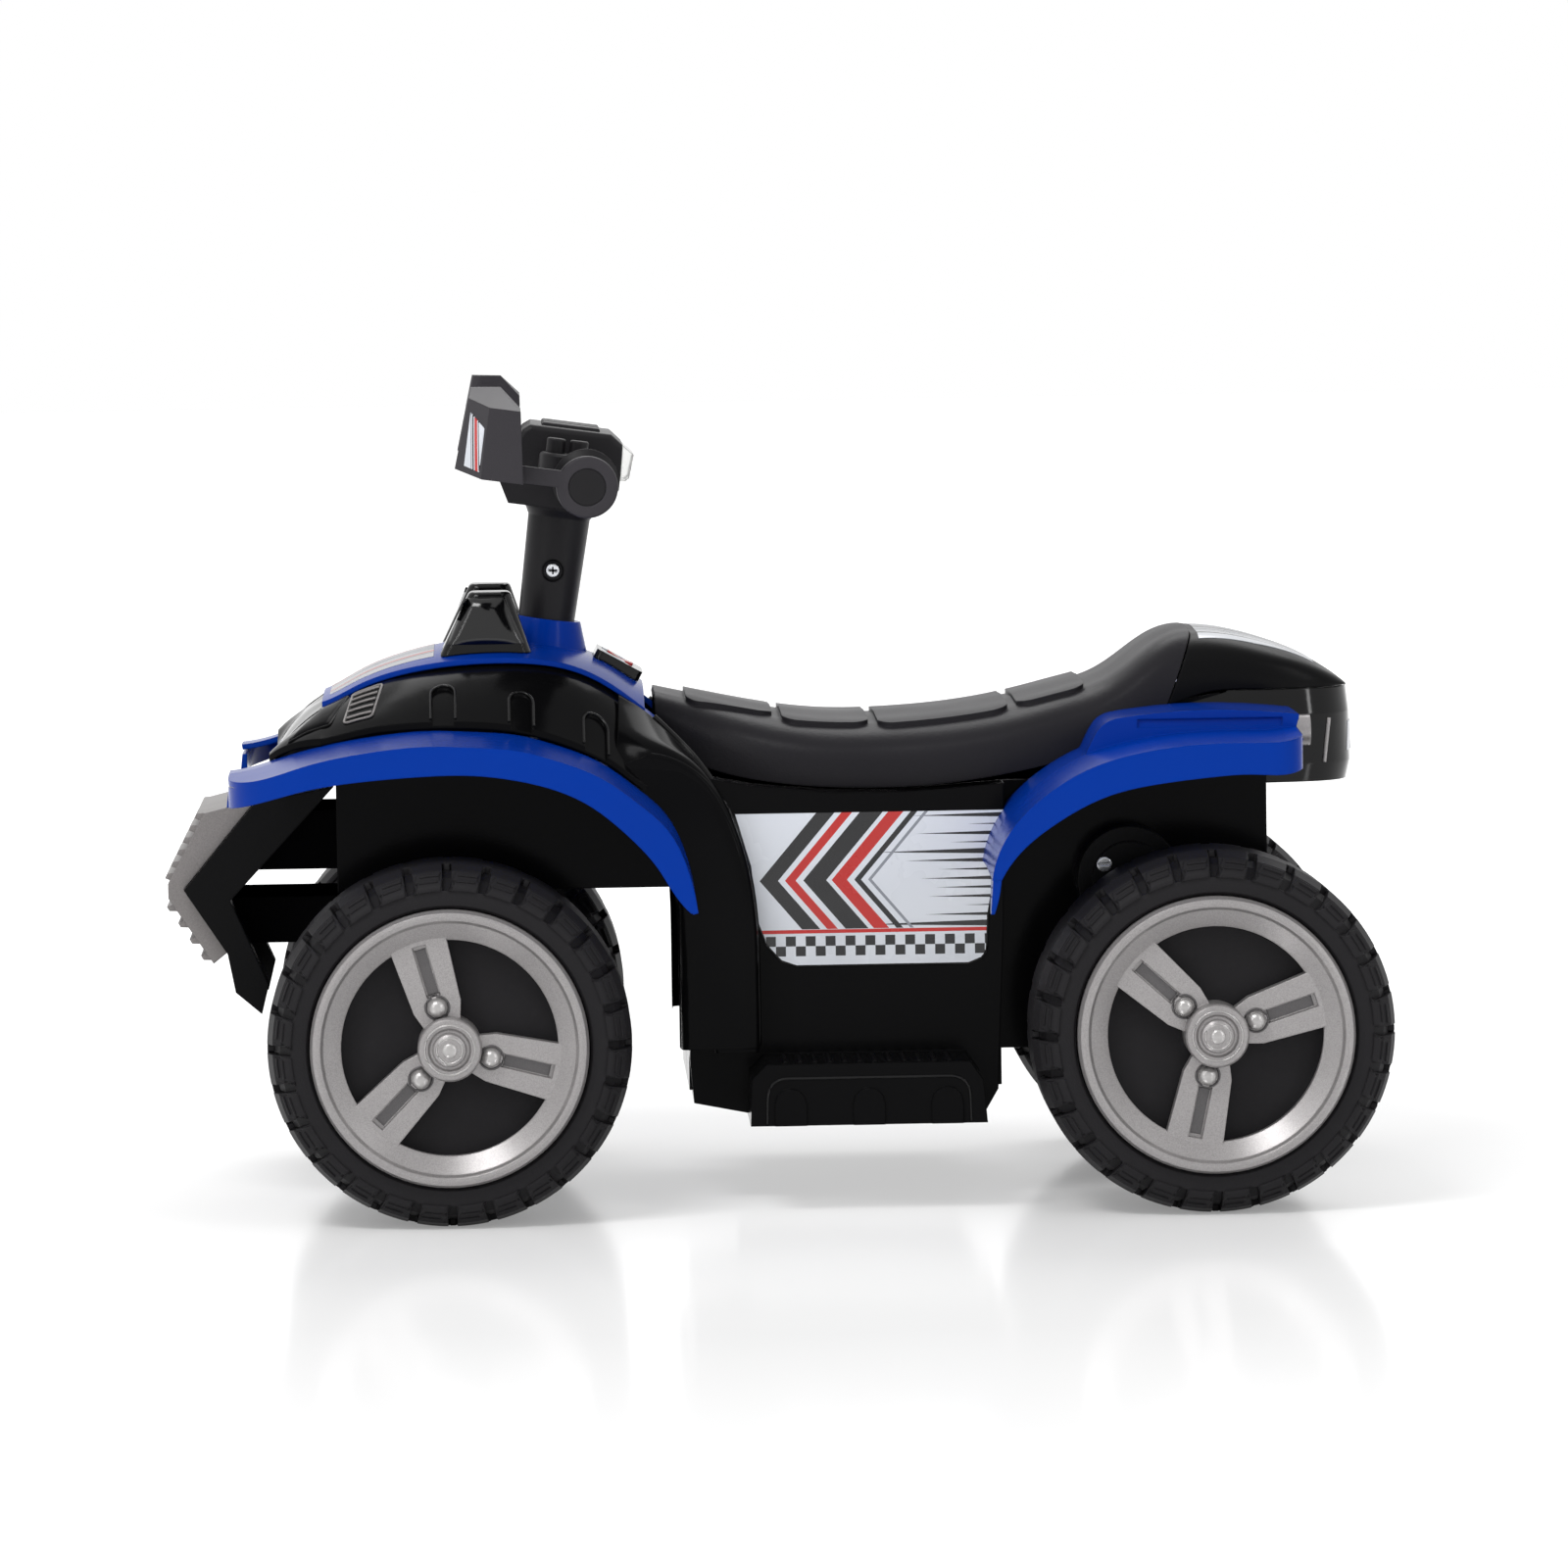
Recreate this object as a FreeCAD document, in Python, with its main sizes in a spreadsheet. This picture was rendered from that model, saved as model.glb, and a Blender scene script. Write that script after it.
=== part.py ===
"""Ride-on quad bike for small children: moulded body, raked handlebar, four wheels and a geared motor.

Frame: front towards -X, left towards -Y, +Z up, origin on the ground below the middle of the bike.
Every length is in millimetres and every angle in degrees.
"""
import FreeCAD, Part
import math
import os
import Sketcher
from FreeCAD import Placement, Rotation, Vector

LEFT, RIGHT = -1, 1

# The driving dimensions, one cell each.
SIZES = {
    # wheels and axles
    "front_axle_x": -175, "wheelbase": 407, "track": 300,
    "wheel_radius": 97, "tyre_width": 80, "tread_drop": 3, "shoulder_drop": 11, "shoulder_width": 18,
    "tyre_wall": 9, "lug_count": 28, "lug_gap": 5, "lug_depth": 4, "wheel_hub_radius": 15, "web_depth": 16,
    "web_thickness": 4, "rim_radius": 74, "rim_opening": 57.5, "rim_proud": 6, "rim_gap": 0.5,
    "spoke_count": 3, "spoke_width": 29, "spoke_thickness": 9, "spoke_slot": 7.5, "spoke_slot_depth": 4,
    "boss_radius": 17, "bolt_circle": 22.5, "bolt_radius": 5, "cap_height": 9,
    "front_spoke_angle": 106, "rear_spoke_angle": 138,
    "axle_radius": 6, "running_gap": 0.08, "nut_radius": 9.5, "nut_height": 8, "washer_height": 2,
    "drive_square": 15, "drive_depth": 7,
    # steering
    "rake": 8, "pivot_x": -119, "pivot_z": 314, "column_top_radius": 17,
    "column_foot_radius": 15.5, "column_sink": 14, "rod_radius": 5, "crank_arm": 30, "pin_radius": 3,
    "pin_gap": 0.35,
    "steer_limit": 20, "kingpin_y": 100, "kingpin_radius": 4, "knuckle_size": 22, "knuckle_height": 16,
    "ear_height": 6, "ear_gap": 0.4, "beam_width": 20, "beam_height": 18, "post_y": 45, "post_width": 12,
    "tie_rod_height": 5, "tie_rod_lift": 2,
    # handlebar, in the steering frame
    "bar_set_back": 11, "bar_height": 80, "bar_radius": 12, "grip_radius": 14, "grip_inner": 86,
    "grip_outer": 150,
    "grip_cap_radius": 16.5, "head_half_width": 46, "head_front": 28, "head_back": 24, "head_top": 106,
    "head_floor": 62, "shell_wall": 3, "guard_inner": 112, "guard_outer": 178, "guard_depth": 34,
    "guard_top": 125,
    "guard_foot": 78, "guard_gap": 34, "button_radius": 5.2, "button_y": 66,
    "button_pitch": 12.5, "button_gap": 0.3,
    # moulded body
    "wall": 3, "seam": 0.4, "tub_front": -235, "tub_half_width": 78, "tub_front_floor": 171, "tub_top": 228,
    "tub_rear": 270, "tub_rear_floor": 80, "belly_front": -46, "belly_rear": 124, "belly_floor": 48,
    "belly_half_width": 98, "board_outer": 152, "board_top": 81, "board_front": -15, "board_rear": 112,
    "fender_top": 257, "fender_outer": 184, "fender_inner": 121,
    "rear_fender_top": 252, "rear_fender_outer": 188, "tier_outer": 134, "tail_half_width": 68,
    "hood_top": 304,
    "collar_height": 18,
    "pad_height": 2.5, "tail_seam": 272.4, "tail_floor": 221, "bumper_half_width": 72,
    "bumper_nose": -331.37, "bumper_waist": 171, "plate_half_width": 62, "beam_half_width": 40,
    "pod_y": 44, "pod_height": 29.5, "exhaust_radius": 8.5, "battery_length": 70, "battery_width": 48,
    "battery_height": 100, "pedal_length": 66, "pedal_width": 34,
    # drive
    "gear_module": 2, "pinion_teeth": 10, "idler_teeth": 30, "idler_pinion_teeth": 10, "drive_teeth": 36,
    "gear_width": 8, "gear_backlash": 0.35, "train_lean": 26.9, "box_wall": 3, "box_depth": 25,
    "motor_radius": 17.5, "motor_length": 44, "idler_pin_radius": 3, "screw_radius": 4,
}

doc = FreeCAD.newDocument("quad_bike")
sheet = doc.addObject("Spreadsheet::Sheet", "Sizes")
for row, (alias, number) in enumerate(SIZES.items(), 1):
    sheet.set(f"A{row}", alias)
    sheet.set(f"B{row}", str(number))
    sheet.setAlias(f"B{row}", alias)
doc.recompute()
parts = []


def size(formula):
    """The value of a formula of sheet cells, such as "Sizes.track / 2"."""
    return float(sheet.evalExpression(formula))


def keep(thing, label):
    """Names an object as one of the bike's pieces."""
    thing.Label = label
    parts.append(thing)
    return thing


def bind(thing, **formulas):
    """Ties properties of an object to formulas of sheet cells; __ in a name stands for a dot."""
    for name, formula in formulas.items():
        thing.setExpression(name.replace("__", "."), formula)
    return thing


# Shared building blocks


def origin_feature(body, role):
    return next(f for f in body.Origin.OriginFeatures if f.Role == role)


def new_body(label):
    return keep(doc.addObject("PartDesign::Body", label), label)


def sketch_on(body, role, offset="0"):
    """An empty sketch on one of the body's origin planes, moved along the plane's normal by a formula."""
    sketch = body.newObject("Sketcher::SketchObject", "sketch")
    sketch.AttachmentSupport = (origin_feature(body, role), [""])
    sketch.MapMode = "FlatFace"
    bind(sketch, AttachmentOffset__Base__z=offset)
    return sketch


def polygon(sketch, corners):
    """Closed straight-sided outline whose corners are pairs of formulas, each tied to the sheet."""
    first = sketch.GeometryCount
    points = [(size(x), size(y)) for x, y in corners]
    count = len(points)
    for i, start in enumerate(points):
        end = points[(i + 1) % count]
        sketch.addGeometry(Part.LineSegment(Vector(*start, 0), Vector(*end, 0)))
    for i in range(count):
        sketch.addConstraint(Sketcher.Constraint("Coincident", first + i, 2, first + (i + 1) % count, 1))
    for i, (corner, point) in enumerate(zip(corners, points)):
        for kind, formula, number in zip(("DistanceX", "DistanceY"), corner, point):
            index = sketch.addConstraint(Sketcher.Constraint(kind, -1, 1, first + i, 1, number))
            sketch.setExpression(f"Constraints[{index}]", formula)


def circle(sketch, x, y, radius):
    """Circle whose centre and radius are formulas tied to the sheet."""
    geo = sketch.addGeometry(Part.Circle(Vector(size(x), size(y), 0), Vector(0, 0, 1), size(radius)))
    for kind, formula in (("DistanceX", x), ("DistanceY", y)):
        index = sketch.addConstraint(Sketcher.Constraint(kind, -1, 1, geo, 3, size(formula)))
        sketch.setExpression(f"Constraints[{index}]", formula)
    index = sketch.addConstraint(Sketcher.Constraint("Radius", geo, size(radius)))
    sketch.setExpression(f"Constraints[{index}]", radius)


def feature(body, kind, sketch, **formulas):
    """A feature of the body made from a sketch, with its sizes tied to formulas."""
    made = body.newObject("PartDesign::" + kind, kind.lower())
    made.Profile = sketch
    bind(made, **formulas)
    sketch.Visibility = False
    return made


def turned(body, corners):
    """Solid of revolution about the body's Z axis from (radius, height) formulas."""
    sketch = sketch_on(body, "XZ_Plane")
    polygon(sketch, corners)
    made = feature(body, "Revolution", sketch)
    made.ReferenceAxis = (sketch, ["V_Axis"])
    made.Angle = 360
    return made


def slab(body, corners, width, kind="Pad"):
    """Pads or pockets a side outline, given as (x, z) formulas, evenly about the XZ plane."""
    sketch = sketch_on(body, "XZ_Plane")
    polygon(sketch, corners)
    made = feature(body, kind, sketch, Length=width)
    made.Midplane = True
    return made


def ring_of(body, originals, count):
    """Repeats features evenly about the body's Z axis."""
    made = body.newObject("PartDesign::PolarPattern", "ring")
    made.Originals = originals
    made.Axis = (origin_feature(body, "Z_Axis"), [""])
    made.Angle = 360
    bind(made, Occurrences=count)
    body.Tip = made
    return made


def primitive(kind, sizes, at, turn=Rotation()):
    """Part primitive with its sizes and position tied to formulas."""
    made = doc.addObject("Part::" + kind, kind.lower())
    made.Placement = Placement(Vector(), turn)
    bind(made, **sizes)
    bind(made, **{f"Placement__Base__{axis}": formula for axis, formula in zip("xyz", at)})
    return made


def box(x, y, z):
    """Block between two formulas along each axis."""
    spans = {name: f"({high}) - ({low})" for name,
             (low, high) in zip(("Length", "Width", "Height"), (x, y, z))}
    return primitive("Box", spans, (x[0], y[0], z[0]))


ALONG = {"X": Rotation(Vector(0, 1, 0), 90), "Y": Rotation(Vector(1, 0, 0), -90), "Z": Rotation()}


def rod(axis, radius, length, at):
    """Cylinder that starts at a point and runs along +X, +Y or +Z."""
    return primitive("Cylinder", {"Radius": radius, "Height": length}, at, ALONG[axis])


def joined(*pieces):
    made = doc.addObject("Part::MultiFuse", "joined")
    made.Shapes = list(pieces)
    return made


def less(base, *tools):
    made = doc.addObject("Part::Cut", "cut")
    made.Base = base
    made.Tool = tools[0] if len(tools) == 1 else joined(*tools)
    return made


def group(*pieces):
    made = doc.addObject("Part::Compound", "group")
    made.Links = list(pieces)
    return made


def moulding(label, shape):
    """A piece whose free-form shape comes from curves and surfaces."""
    made = doc.addObject("Part::Feature", label)
    made.Shape = shape
    return keep(made, label)


def curve(points):
    """Smooth edge through the given points."""
    spline = Part.BSplineCurve()
    spline.interpolate([Vector(*p) for p in points])
    return spline.toShape()


def skin(sections):
    """Smooth face through rows of points."""
    return Part.makeLoft([Part.Wire([curve(s)]) for s in sections], False, False).Faces[0]


def thick(face, depth):
    """Wall of even depth inside a skin whose rows run from left to right and from front to back."""
    return face.makeOffsetShape(depth, 1e-3, fill=True)


def offset_points(points, depth):
    """A row of (x, z) points moved square to the row by depth, to the right of its direction."""
    moved = []
    for i, (x, z) in enumerate(points):
        ahead = points[min(i + 1, len(points) - 1)]
        behind = points[max(i - 1, 0)]
        run, rise = ahead[0] - behind[0], ahead[1] - behind[1]
        length = math.hypot(run, rise)
        moved.append((x + depth * rise / length, z - depth * run / length))
    return moved


def band(points, depth, y):
    """Closed outline at one y: a smooth row of (x, z) points and the same row moved by depth."""
    under = offset_points(points, depth)[::-1]
    upper = [(x, y, z) for x, z in points]
    lower = [(x, y, z) for x, z in under]
    return Part.Wire([curve(upper), Part.makeLine(upper[-1], lower[0]), curve(lower),
                      Part.makeLine(lower[-1], upper[0])])


def shelf(points, depth, stops):
    """Curved shelf through (y, lift) stops, straight between them."""
    rows = [band([(x, z + lift) for x, z in points], depth, y) for y, lift in stops]
    return Part.makeLoft(rows, True, True)


def fin(upper, lower, y_from, y_to):
    """Upright web between two smooth rows of (x, z) points."""
    top = [(x, y_from, z) for x, z in upper]
    foot = [(x, y_from, z) for x, z in lower]
    wire = Part.Wire([curve(top), Part.makeLine(top[-1], foot[0]), curve(foot),
                      Part.makeLine(foot[-1], top[0])])
    return Part.Face(wire).extrude(Vector(0, y_to - y_from, 0))


def plate(corners, y_from, y_to):
    """Flat straight-sided (x, z) outline between two y planes."""
    ring = [Vector(x, y_from, z) for x, z in corners]
    face = Part.Face(Part.makePolygon(ring + ring[:1]))
    return face.extrude(Vector(0, y_to - y_from, 0))


def mirrored(shape):
    return shape.mirror(Vector(), Vector(0, 1, 0))


# Positions that several pieces share

REAR_X = "(Sizes.front_axle_x + Sizes.wheelbase)"
WHEEL_IN = "(Sizes.track / 2 - Sizes.tyre_width / 2)"
WEB_OUT = "(Sizes.tyre_width - Sizes.web_depth)"
AXLE_END = f"({WHEEL_IN} + {WEB_OUT} + Sizes.washer_height + Sizes.nut_height + 2)"
BORE = "(Sizes.axle_radius + Sizes.running_gap)"
BOSS_TOP = "(Sizes.tyre_width + 2)"
OUTWARD = {LEFT: Rotation(Vector(1, 0, 0), 90), RIGHT: Rotation(Vector(1, 0, 0), -90)}


def put_on_axle(body, x, side, turn="0"):
    """Stands a wheel piece on its axle with its own Z axis pointing away from the bike."""
    lean = OUTWARD[side]
    body.Placement = Placement(Vector(), lean.multiply(Rotation(Vector(0, 0, 1), size(turn))))
    bind(body, Placement__Base__x=x, Placement__Base__y=f"{side} * {WHEEL_IN}",
         Placement__Base__z="Sizes.wheel_radius")


def make_tyre(label, x, side):
    """Hollow moulded tyre with its hub, web and notched shoulders."""
    body = new_body(label)
    radius, width = "Sizes.wheel_radius", "Sizes.tyre_width"
    seat = "(Sizes.rim_radius + Sizes.rim_gap)"
    edge = f"{radius} - Sizes.shoulder_drop"
    tread = f"{radius} - Sizes.tread_drop"
    inside = f"{radius} - Sizes.tyre_wall"
    turned(body, [
        (BORE, "4"), ("Sizes.wheel_hub_radius", "4"),
        ("Sizes.wheel_hub_radius", f"{WEB_OUT} - Sizes.web_thickness"),
        (f"{seat} + 4", f"{WEB_OUT} - Sizes.web_thickness"), (f"{seat} + 4", f"{width} - 8"),
        (f"{edge} - 3", f"{width} - 8"),
        (f"{inside} - 2", f"{width} - 14"), (inside, f"{width} - 20"), (inside, "20"),
        (f"{inside} - 2", "14"),
        (f"{edge} - 3", "8"), (f"{edge} - 6", "8"), (f"{edge} - 6", "0"), (edge, "0"), (tread, "8"),
        (radius, "Sizes.shoulder_width"), (radius, f"{width} - Sizes.shoulder_width"),
        (tread, f"{width} - 8"),
        (edge, width), (f"{seat} + 1.5", width), (seat, f"{width} - 2"), (seat, WEB_OUT), (BORE, WEB_OUT),
    ])
    notch = sketch_on(body, "XZ_Plane")
    floor = f"{radius} - Sizes.lug_depth"
    for near, far in ((f"{width} - {{}}", 1), ("0 + {}", -1)):
        at = near.format
        outer = at("(-2)")
        polygon(notch, [(floor, at(23)), (floor, at(18)), (f"{floor} - Sizes.tread_drop", at(10)),
                        (f"{edge} - 2", at(3)),
                        (f"{edge} - 2", outer), (f"{radius} + 3", outer), (f"{radius} + 3", at(23))])
    cut = feature(body, "Pocket", notch, Length="Sizes.lug_gap")
    cut.Midplane = True
    ring_of(body, [cut], "Sizes.lug_count")
    square = sketch_on(body, "XY_Plane", "4")
    half = "(Sizes.drive_square / 2 + 0.1)"
    polygon(square, [(f"-{half}", f"-{half}"), (half, f"-{half}"), (half, half), (f"-{half}", half)])
    socket = feature(body, "Pocket", square, Length="Sizes.drive_depth")
    socket.Reversed = True
    body.Tip = socket
    put_on_axle(body, x, side)


def make_rim(label, x, side, turn):
    """Three-spoke trim with slotted spokes, dummy bolts and a rolled lip."""
    body = new_body(label)
    face = f"({WEB_OUT} + 4 + Sizes.spoke_thickness)"
    boss = sketch_on(body, "XY_Plane", WEB_OUT)
    circle(boss, "0", "0", "Sizes.boss_radius")
    circle(boss, "0", "0", "Sizes.nut_radius + 3")
    feature(body, "Pad", boss, Length=f"{BOSS_TOP} - {WEB_OUT}")
    arm = sketch_on(body, "XY_Plane", f"{WEB_OUT} + 4")
    wide, narrow = "Sizes.spoke_width / 2 + 1", "Sizes.spoke_width / 2 - 1.5"
    reach = "Sizes.rim_opening + 1.5"
    root = "Sizes.nut_radius + 4"
    polygon(arm, [(root, f"-({narrow}) + 3"), ("Sizes.bolt_circle", f"-({narrow})"), (reach, f"-({wide})"),
                  (reach, wide),
                  ("Sizes.bolt_circle", narrow), (root, f"{narrow} - 3")])
    spoke = feature(body, "Pad", arm, Length="Sizes.spoke_thickness")
    trough = sketch_on(body, "XY_Plane", face)
    half = "Sizes.spoke_slot / 2"
    start = "Sizes.bolt_circle + Sizes.bolt_radius + 1"
    end = "Sizes.rim_opening - 1"
    polygon(trough, [(start, f"-{half}"), (end, f"-{half}"), (end, half), (start, half)])
    slot = feature(body, "Pocket", trough, Length="Sizes.spoke_slot_depth")
    stud = sketch_on(body, "XY_Plane", face)
    circle(stud, "Sizes.bolt_circle", "0", "Sizes.bolt_radius")
    bolt = feature(body, "Pad", stud, Length="2")
    button = sketch_on(body, "XY_Plane", f"{face} + 2")
    circle(button, "Sizes.bolt_circle", "0", "Sizes.bolt_radius - 1.4")
    head = feature(body, "Pad", button, Length="1.6")
    ring_of(body, [spoke, slot, bolt, head], "Sizes.spoke_count")
    turned(body, [
        ("Sizes.rim_opening + 1", WEB_OUT), ("Sizes.rim_radius - 1", WEB_OUT),
        ("Sizes.rim_radius", f"{WEB_OUT} + 6"),
        ("Sizes.rim_radius", BOSS_TOP), ("Sizes.rim_radius - 1.5",
                                         "Sizes.tyre_width + Sizes.rim_proud - 0.6"),
        ("Sizes.rim_radius - 3.5", "Sizes.tyre_width + Sizes.rim_proud"),
        ("Sizes.rim_radius - 5.5", "Sizes.tyre_width + Sizes.rim_proud - 0.6"),
        ("Sizes.rim_radius - 7", "Sizes.tyre_width + Sizes.rim_proud - 3"),
        ("Sizes.rim_opening", f"{face} - 1"),
    ])
    put_on_axle(body, x, side, turn)


def make_hub_cap(label, x, side):
    """Snap-on cap with a rolled edge and a domed centre."""
    body = new_body(label)
    rim = "Sizes.boss_radius"
    top = f"({BOSS_TOP} + Sizes.cap_height)"
    inner = "Sizes.nut_radius + 3.5"
    turned(body, [
        (inner, BOSS_TOP), (rim, BOSS_TOP), (rim, f"{top} - 5"), (f"{rim} - 1", f"{top} - 3.5"),
        (f"{rim} - 3", f"{top} - 3"),
        (f"{rim} - 5.5", f"{top} - 3.5"), (f"{rim} - 6.5", f"{top} - 5"), (f"{rim} - 8", f"{top} - 5"),
        (f"{rim} - 8.5", f"{top} - 2"), (f"{rim} - 11", f"{top} - 0.5"), ("3", top), ("0", top),
        ("0", f"{top} - 6"),
        (inner, f"{top} - 6"),
    ])
    put_on_axle(body, x, side)


def make_axle_nut(side):
    """Hexagon nut with its washer on an axle end, without a place along X."""
    start = f"({WHEEL_IN} + {WEB_OUT})"
    height = "(Sizes.washer_height + Sizes.nut_height)"

    def at(x):
        y = f"{start}" if side == RIGHT else f"-{start} - {height}"
        washer_y = start if side == RIGHT else f"-{start} - Sizes.washer_height"
        nut = primitive("Prism", {"Circumradius": "Sizes.nut_radius", "Height": height},
                        (x, y, "Sizes.wheel_radius"),
                        ALONG["Y"])
        nut.Polygon = 6
        washer = rod("Y", "Sizes.nut_radius + 2", "Sizes.washer_height",
                     (x, washer_y, "Sizes.wheel_radius"))
        hole = rod("Y", "Sizes.axle_radius + 0.05", f"{height} + 4", (x, f"{y} - 2", "Sizes.wheel_radius"))
        return less(joined(nut, washer), hole)
    return at


def make_wheels():
    for end, x, turn in (("front", "Sizes.front_axle_x", "Sizes.front_spoke_angle"),
                         ("rear", REAR_X, "Sizes.rear_spoke_angle")):
        for name, side in (("left", LEFT), ("right", RIGHT)):
            make_tyre(f"{end}_{name}_tyre", x, side)
            make_rim(f"{end}_{name}_rim", x, side, turn)
            make_hub_cap(f"{end}_{name}_hub_cap", x, side)
    keep(rod("Y", "Sizes.axle_radius", f"2 * {AXLE_END}", (REAR_X, f"-{AXLE_END}", "Sizes.wheel_radius")),
         "rear_axle")
    keep(group(make_axle_nut(LEFT)(REAR_X), make_axle_nut(RIGHT)(REAR_X)), "rear_axle_nuts")


# Steering linkage

ARM_X = "(Sizes.front_axle_x + Sizes.crank_arm)"
ROD_FLOOR = "(Sizes.wheel_radius + Sizes.tie_rod_lift)"
ROD_TOP = f"({ROD_FLOOR} + Sizes.tie_rod_height)"
CRANK_X = (f"(Sizes.pivot_x - (Sizes.pivot_z - ({ROD_FLOOR} + {ROD_TOP}) / 2) * tan(Sizes.rake)"
           " + Sizes.crank_arm / cos(Sizes.rake))")
ARC_DIP = "(Sizes.crank_arm * (1 - cos(Sizes.steer_limit)))"


def make_knuckle(name, side):
    """Steering knuckle: kingpin barrel, stub axle and rearward arm with its pin."""
    x, z = "Sizes.front_axle_x", "Sizes.wheel_radius"
    y = f"({side} * Sizes.kingpin_y)"
    reach = "(Sizes.knuckle_height / 2 + Sizes.ear_gap + Sizes.ear_height)"
    barrel = rod("Z", "Sizes.knuckle_size / 2", "Sizes.knuckle_height",
                 (x, y, f"{z} - Sizes.knuckle_height / 2"))
    pin = rod("Z", "Sizes.kingpin_radius", f"2 * {reach} + 3", (x, y, f"{z} - {reach} - 1.5"))
    start = y if side == RIGHT else f"-{AXLE_END}"
    stub = rod("Y", "Sizes.axle_radius", f"{AXLE_END} - Sizes.kingpin_y", (x, start, z))
    shoulder = f"({WHEEL_IN} + 3.6)"
    collar_start = y if side == RIGHT else f"-{shoulder}"
    collar = rod("Y", "Sizes.knuckle_height / 2 - 1", f"{shoulder} - Sizes.kingpin_y", (x, collar_start, z))
    arm = box((x, ARM_X), (f"{y} - 5", f"{y} + 5"), (f"{z} - 6", z))
    eye = rod("Z", "6.5", "6", (ARM_X, y, f"{z} - 6"))
    stud = rod("Z", "Sizes.pin_radius", f"{ROD_TOP} - {z} + 5", (ARM_X, y, f"{z} - 3"))
    keep(joined(barrel, pin, stub, collar, arm, eye, stud), f"knuckle_{name}")
    keep(make_axle_nut(side)(x), f"axle_nut_{name}")


def make_axle_beam():
    """Front axle beam with forked ends and two posts that carry the body."""
    x, z = "Sizes.front_axle_x", "Sizes.wheel_radius"
    half = "Sizes.knuckle_size / 2"
    inner = "(Sizes.kingpin_y - Sizes.knuckle_size / 2 - 1)"
    web = f"({inner} - 8)"
    low = "(Sizes.knuckle_height / 2 + Sizes.ear_gap)"
    high = f"({low} + Sizes.ear_height)"
    span_x = (f"{x} - {half}", f"{x} + {half}")
    pieces = [box((f"{x} - Sizes.beam_width / 2", f"{x} + Sizes.beam_width / 2"),
                  (f"-{web} - 2", f"{web} + 2"),
                  (f"{z} - Sizes.beam_height / 2", f"{z} + Sizes.beam_height / 2"))]
    holes = []
    for side in (LEFT, RIGHT):
        y = f"{side} * Sizes.kingpin_y"
        near, far = (web, inner) if side == RIGHT else (f"-{inner}", f"-{web}")
        tip = f"{side} * (Sizes.kingpin_y + {half} - 2)"
        ear = (web, tip) if side == RIGHT else (tip, f"-{web}")
        pieces.append(box(span_x, (near, far), (f"{z} - {high}", f"{z} + {high}")))
        pieces.append(box(span_x, ear, (f"{z} + {low}", f"{z} + {high}")))
        pieces.append(box(span_x, ear, (f"{z} - {high}", f"{z} - {low}")))
        holes.append(rod("Z", "Sizes.kingpin_radius + Sizes.running_gap", f"2 * {high} + 4",
                         (x, y, f"{z} - {high} - 2")))
        post = f"{side} * Sizes.post_y"
        pieces.append(box((f"{x} - Sizes.beam_width / 2", f"{x} + Sizes.beam_width / 2"),
                          (f"{post} - Sizes.post_width / 2", f"{post} + Sizes.post_width / 2"),
                          (z, "Sizes.tub_front_floor")))
        pieces.append(box((f"{x} - Sizes.beam_width", f"{x} + Sizes.beam_width"),
                          (f"{post} - Sizes.post_width", f"{post} + Sizes.post_width"),
                          ("Sizes.tub_front_floor - 4", "Sizes.tub_front_floor")))
    keep(less(joined(*pieces), *holes), "front_axle_beam")


def make_tie_rod():
    """Bar that couples both knuckle arms to the crank; its eyes are slotted for the arms' arc."""
    slack = "(Sizes.pin_radius + Sizes.pin_gap)"
    end = "(Sizes.kingpin_y + 8)"
    levels = (ROD_FLOOR, ROD_TOP)
    cut_levels = (f"{ROD_FLOOR} - 2", f"{ROD_TOP} + 2")
    bar = box((f"{ARM_X} - {ARC_DIP} - {slack} - 4", f"{ARM_X} + {slack} + 4"), (f"-{end}", end), levels)
    tongue = box((ARM_X, f"{CRANK_X} + {slack} + 5"), ("-9", "9"), levels)
    slots = [box((f"{ARM_X} - {ARC_DIP} - {slack}", f"{ARM_X} + {slack}"),
                 (f"{side} * Sizes.kingpin_y - {slack}", f"{side} * Sizes.kingpin_y + {slack}"), cut_levels)
             for side in (LEFT, RIGHT)]
    slots.append(box((f"{CRANK_X} - {ARC_DIP} - {slack} - 1", f"{CRANK_X} + {slack} + 1"),
                     (f"-{slack}", slack), cut_levels))
    keep(less(joined(bar, tongue), *slots), "tie_rod")


def steering_frame():
    """Frame of the handlebar: Z up the raked column, X towards the rider."""
    return Placement(Vector(size("Sizes.pivot_x"), 0, size("Sizes.pivot_z")),
                     Rotation(Vector(0, 1, 0), size("Sizes.rake")))


def rake(piece):
    """Moves a finished piece from the handlebar's own frame to the bike."""
    piece.Placement = steering_frame().multiply(piece.Placement)
    bind(piece, Placement__Base__x="Sizes.pivot_x", Placement__Base__z="Sizes.pivot_z",
         Placement__Rotation__Angle="Sizes.rake")
    return piece


CRANK_W = f"(({ROD_TOP} + 3 + Sizes.crank_arm * sin(Sizes.rake) - Sizes.pivot_z) / cos(Sizes.rake))"


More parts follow.
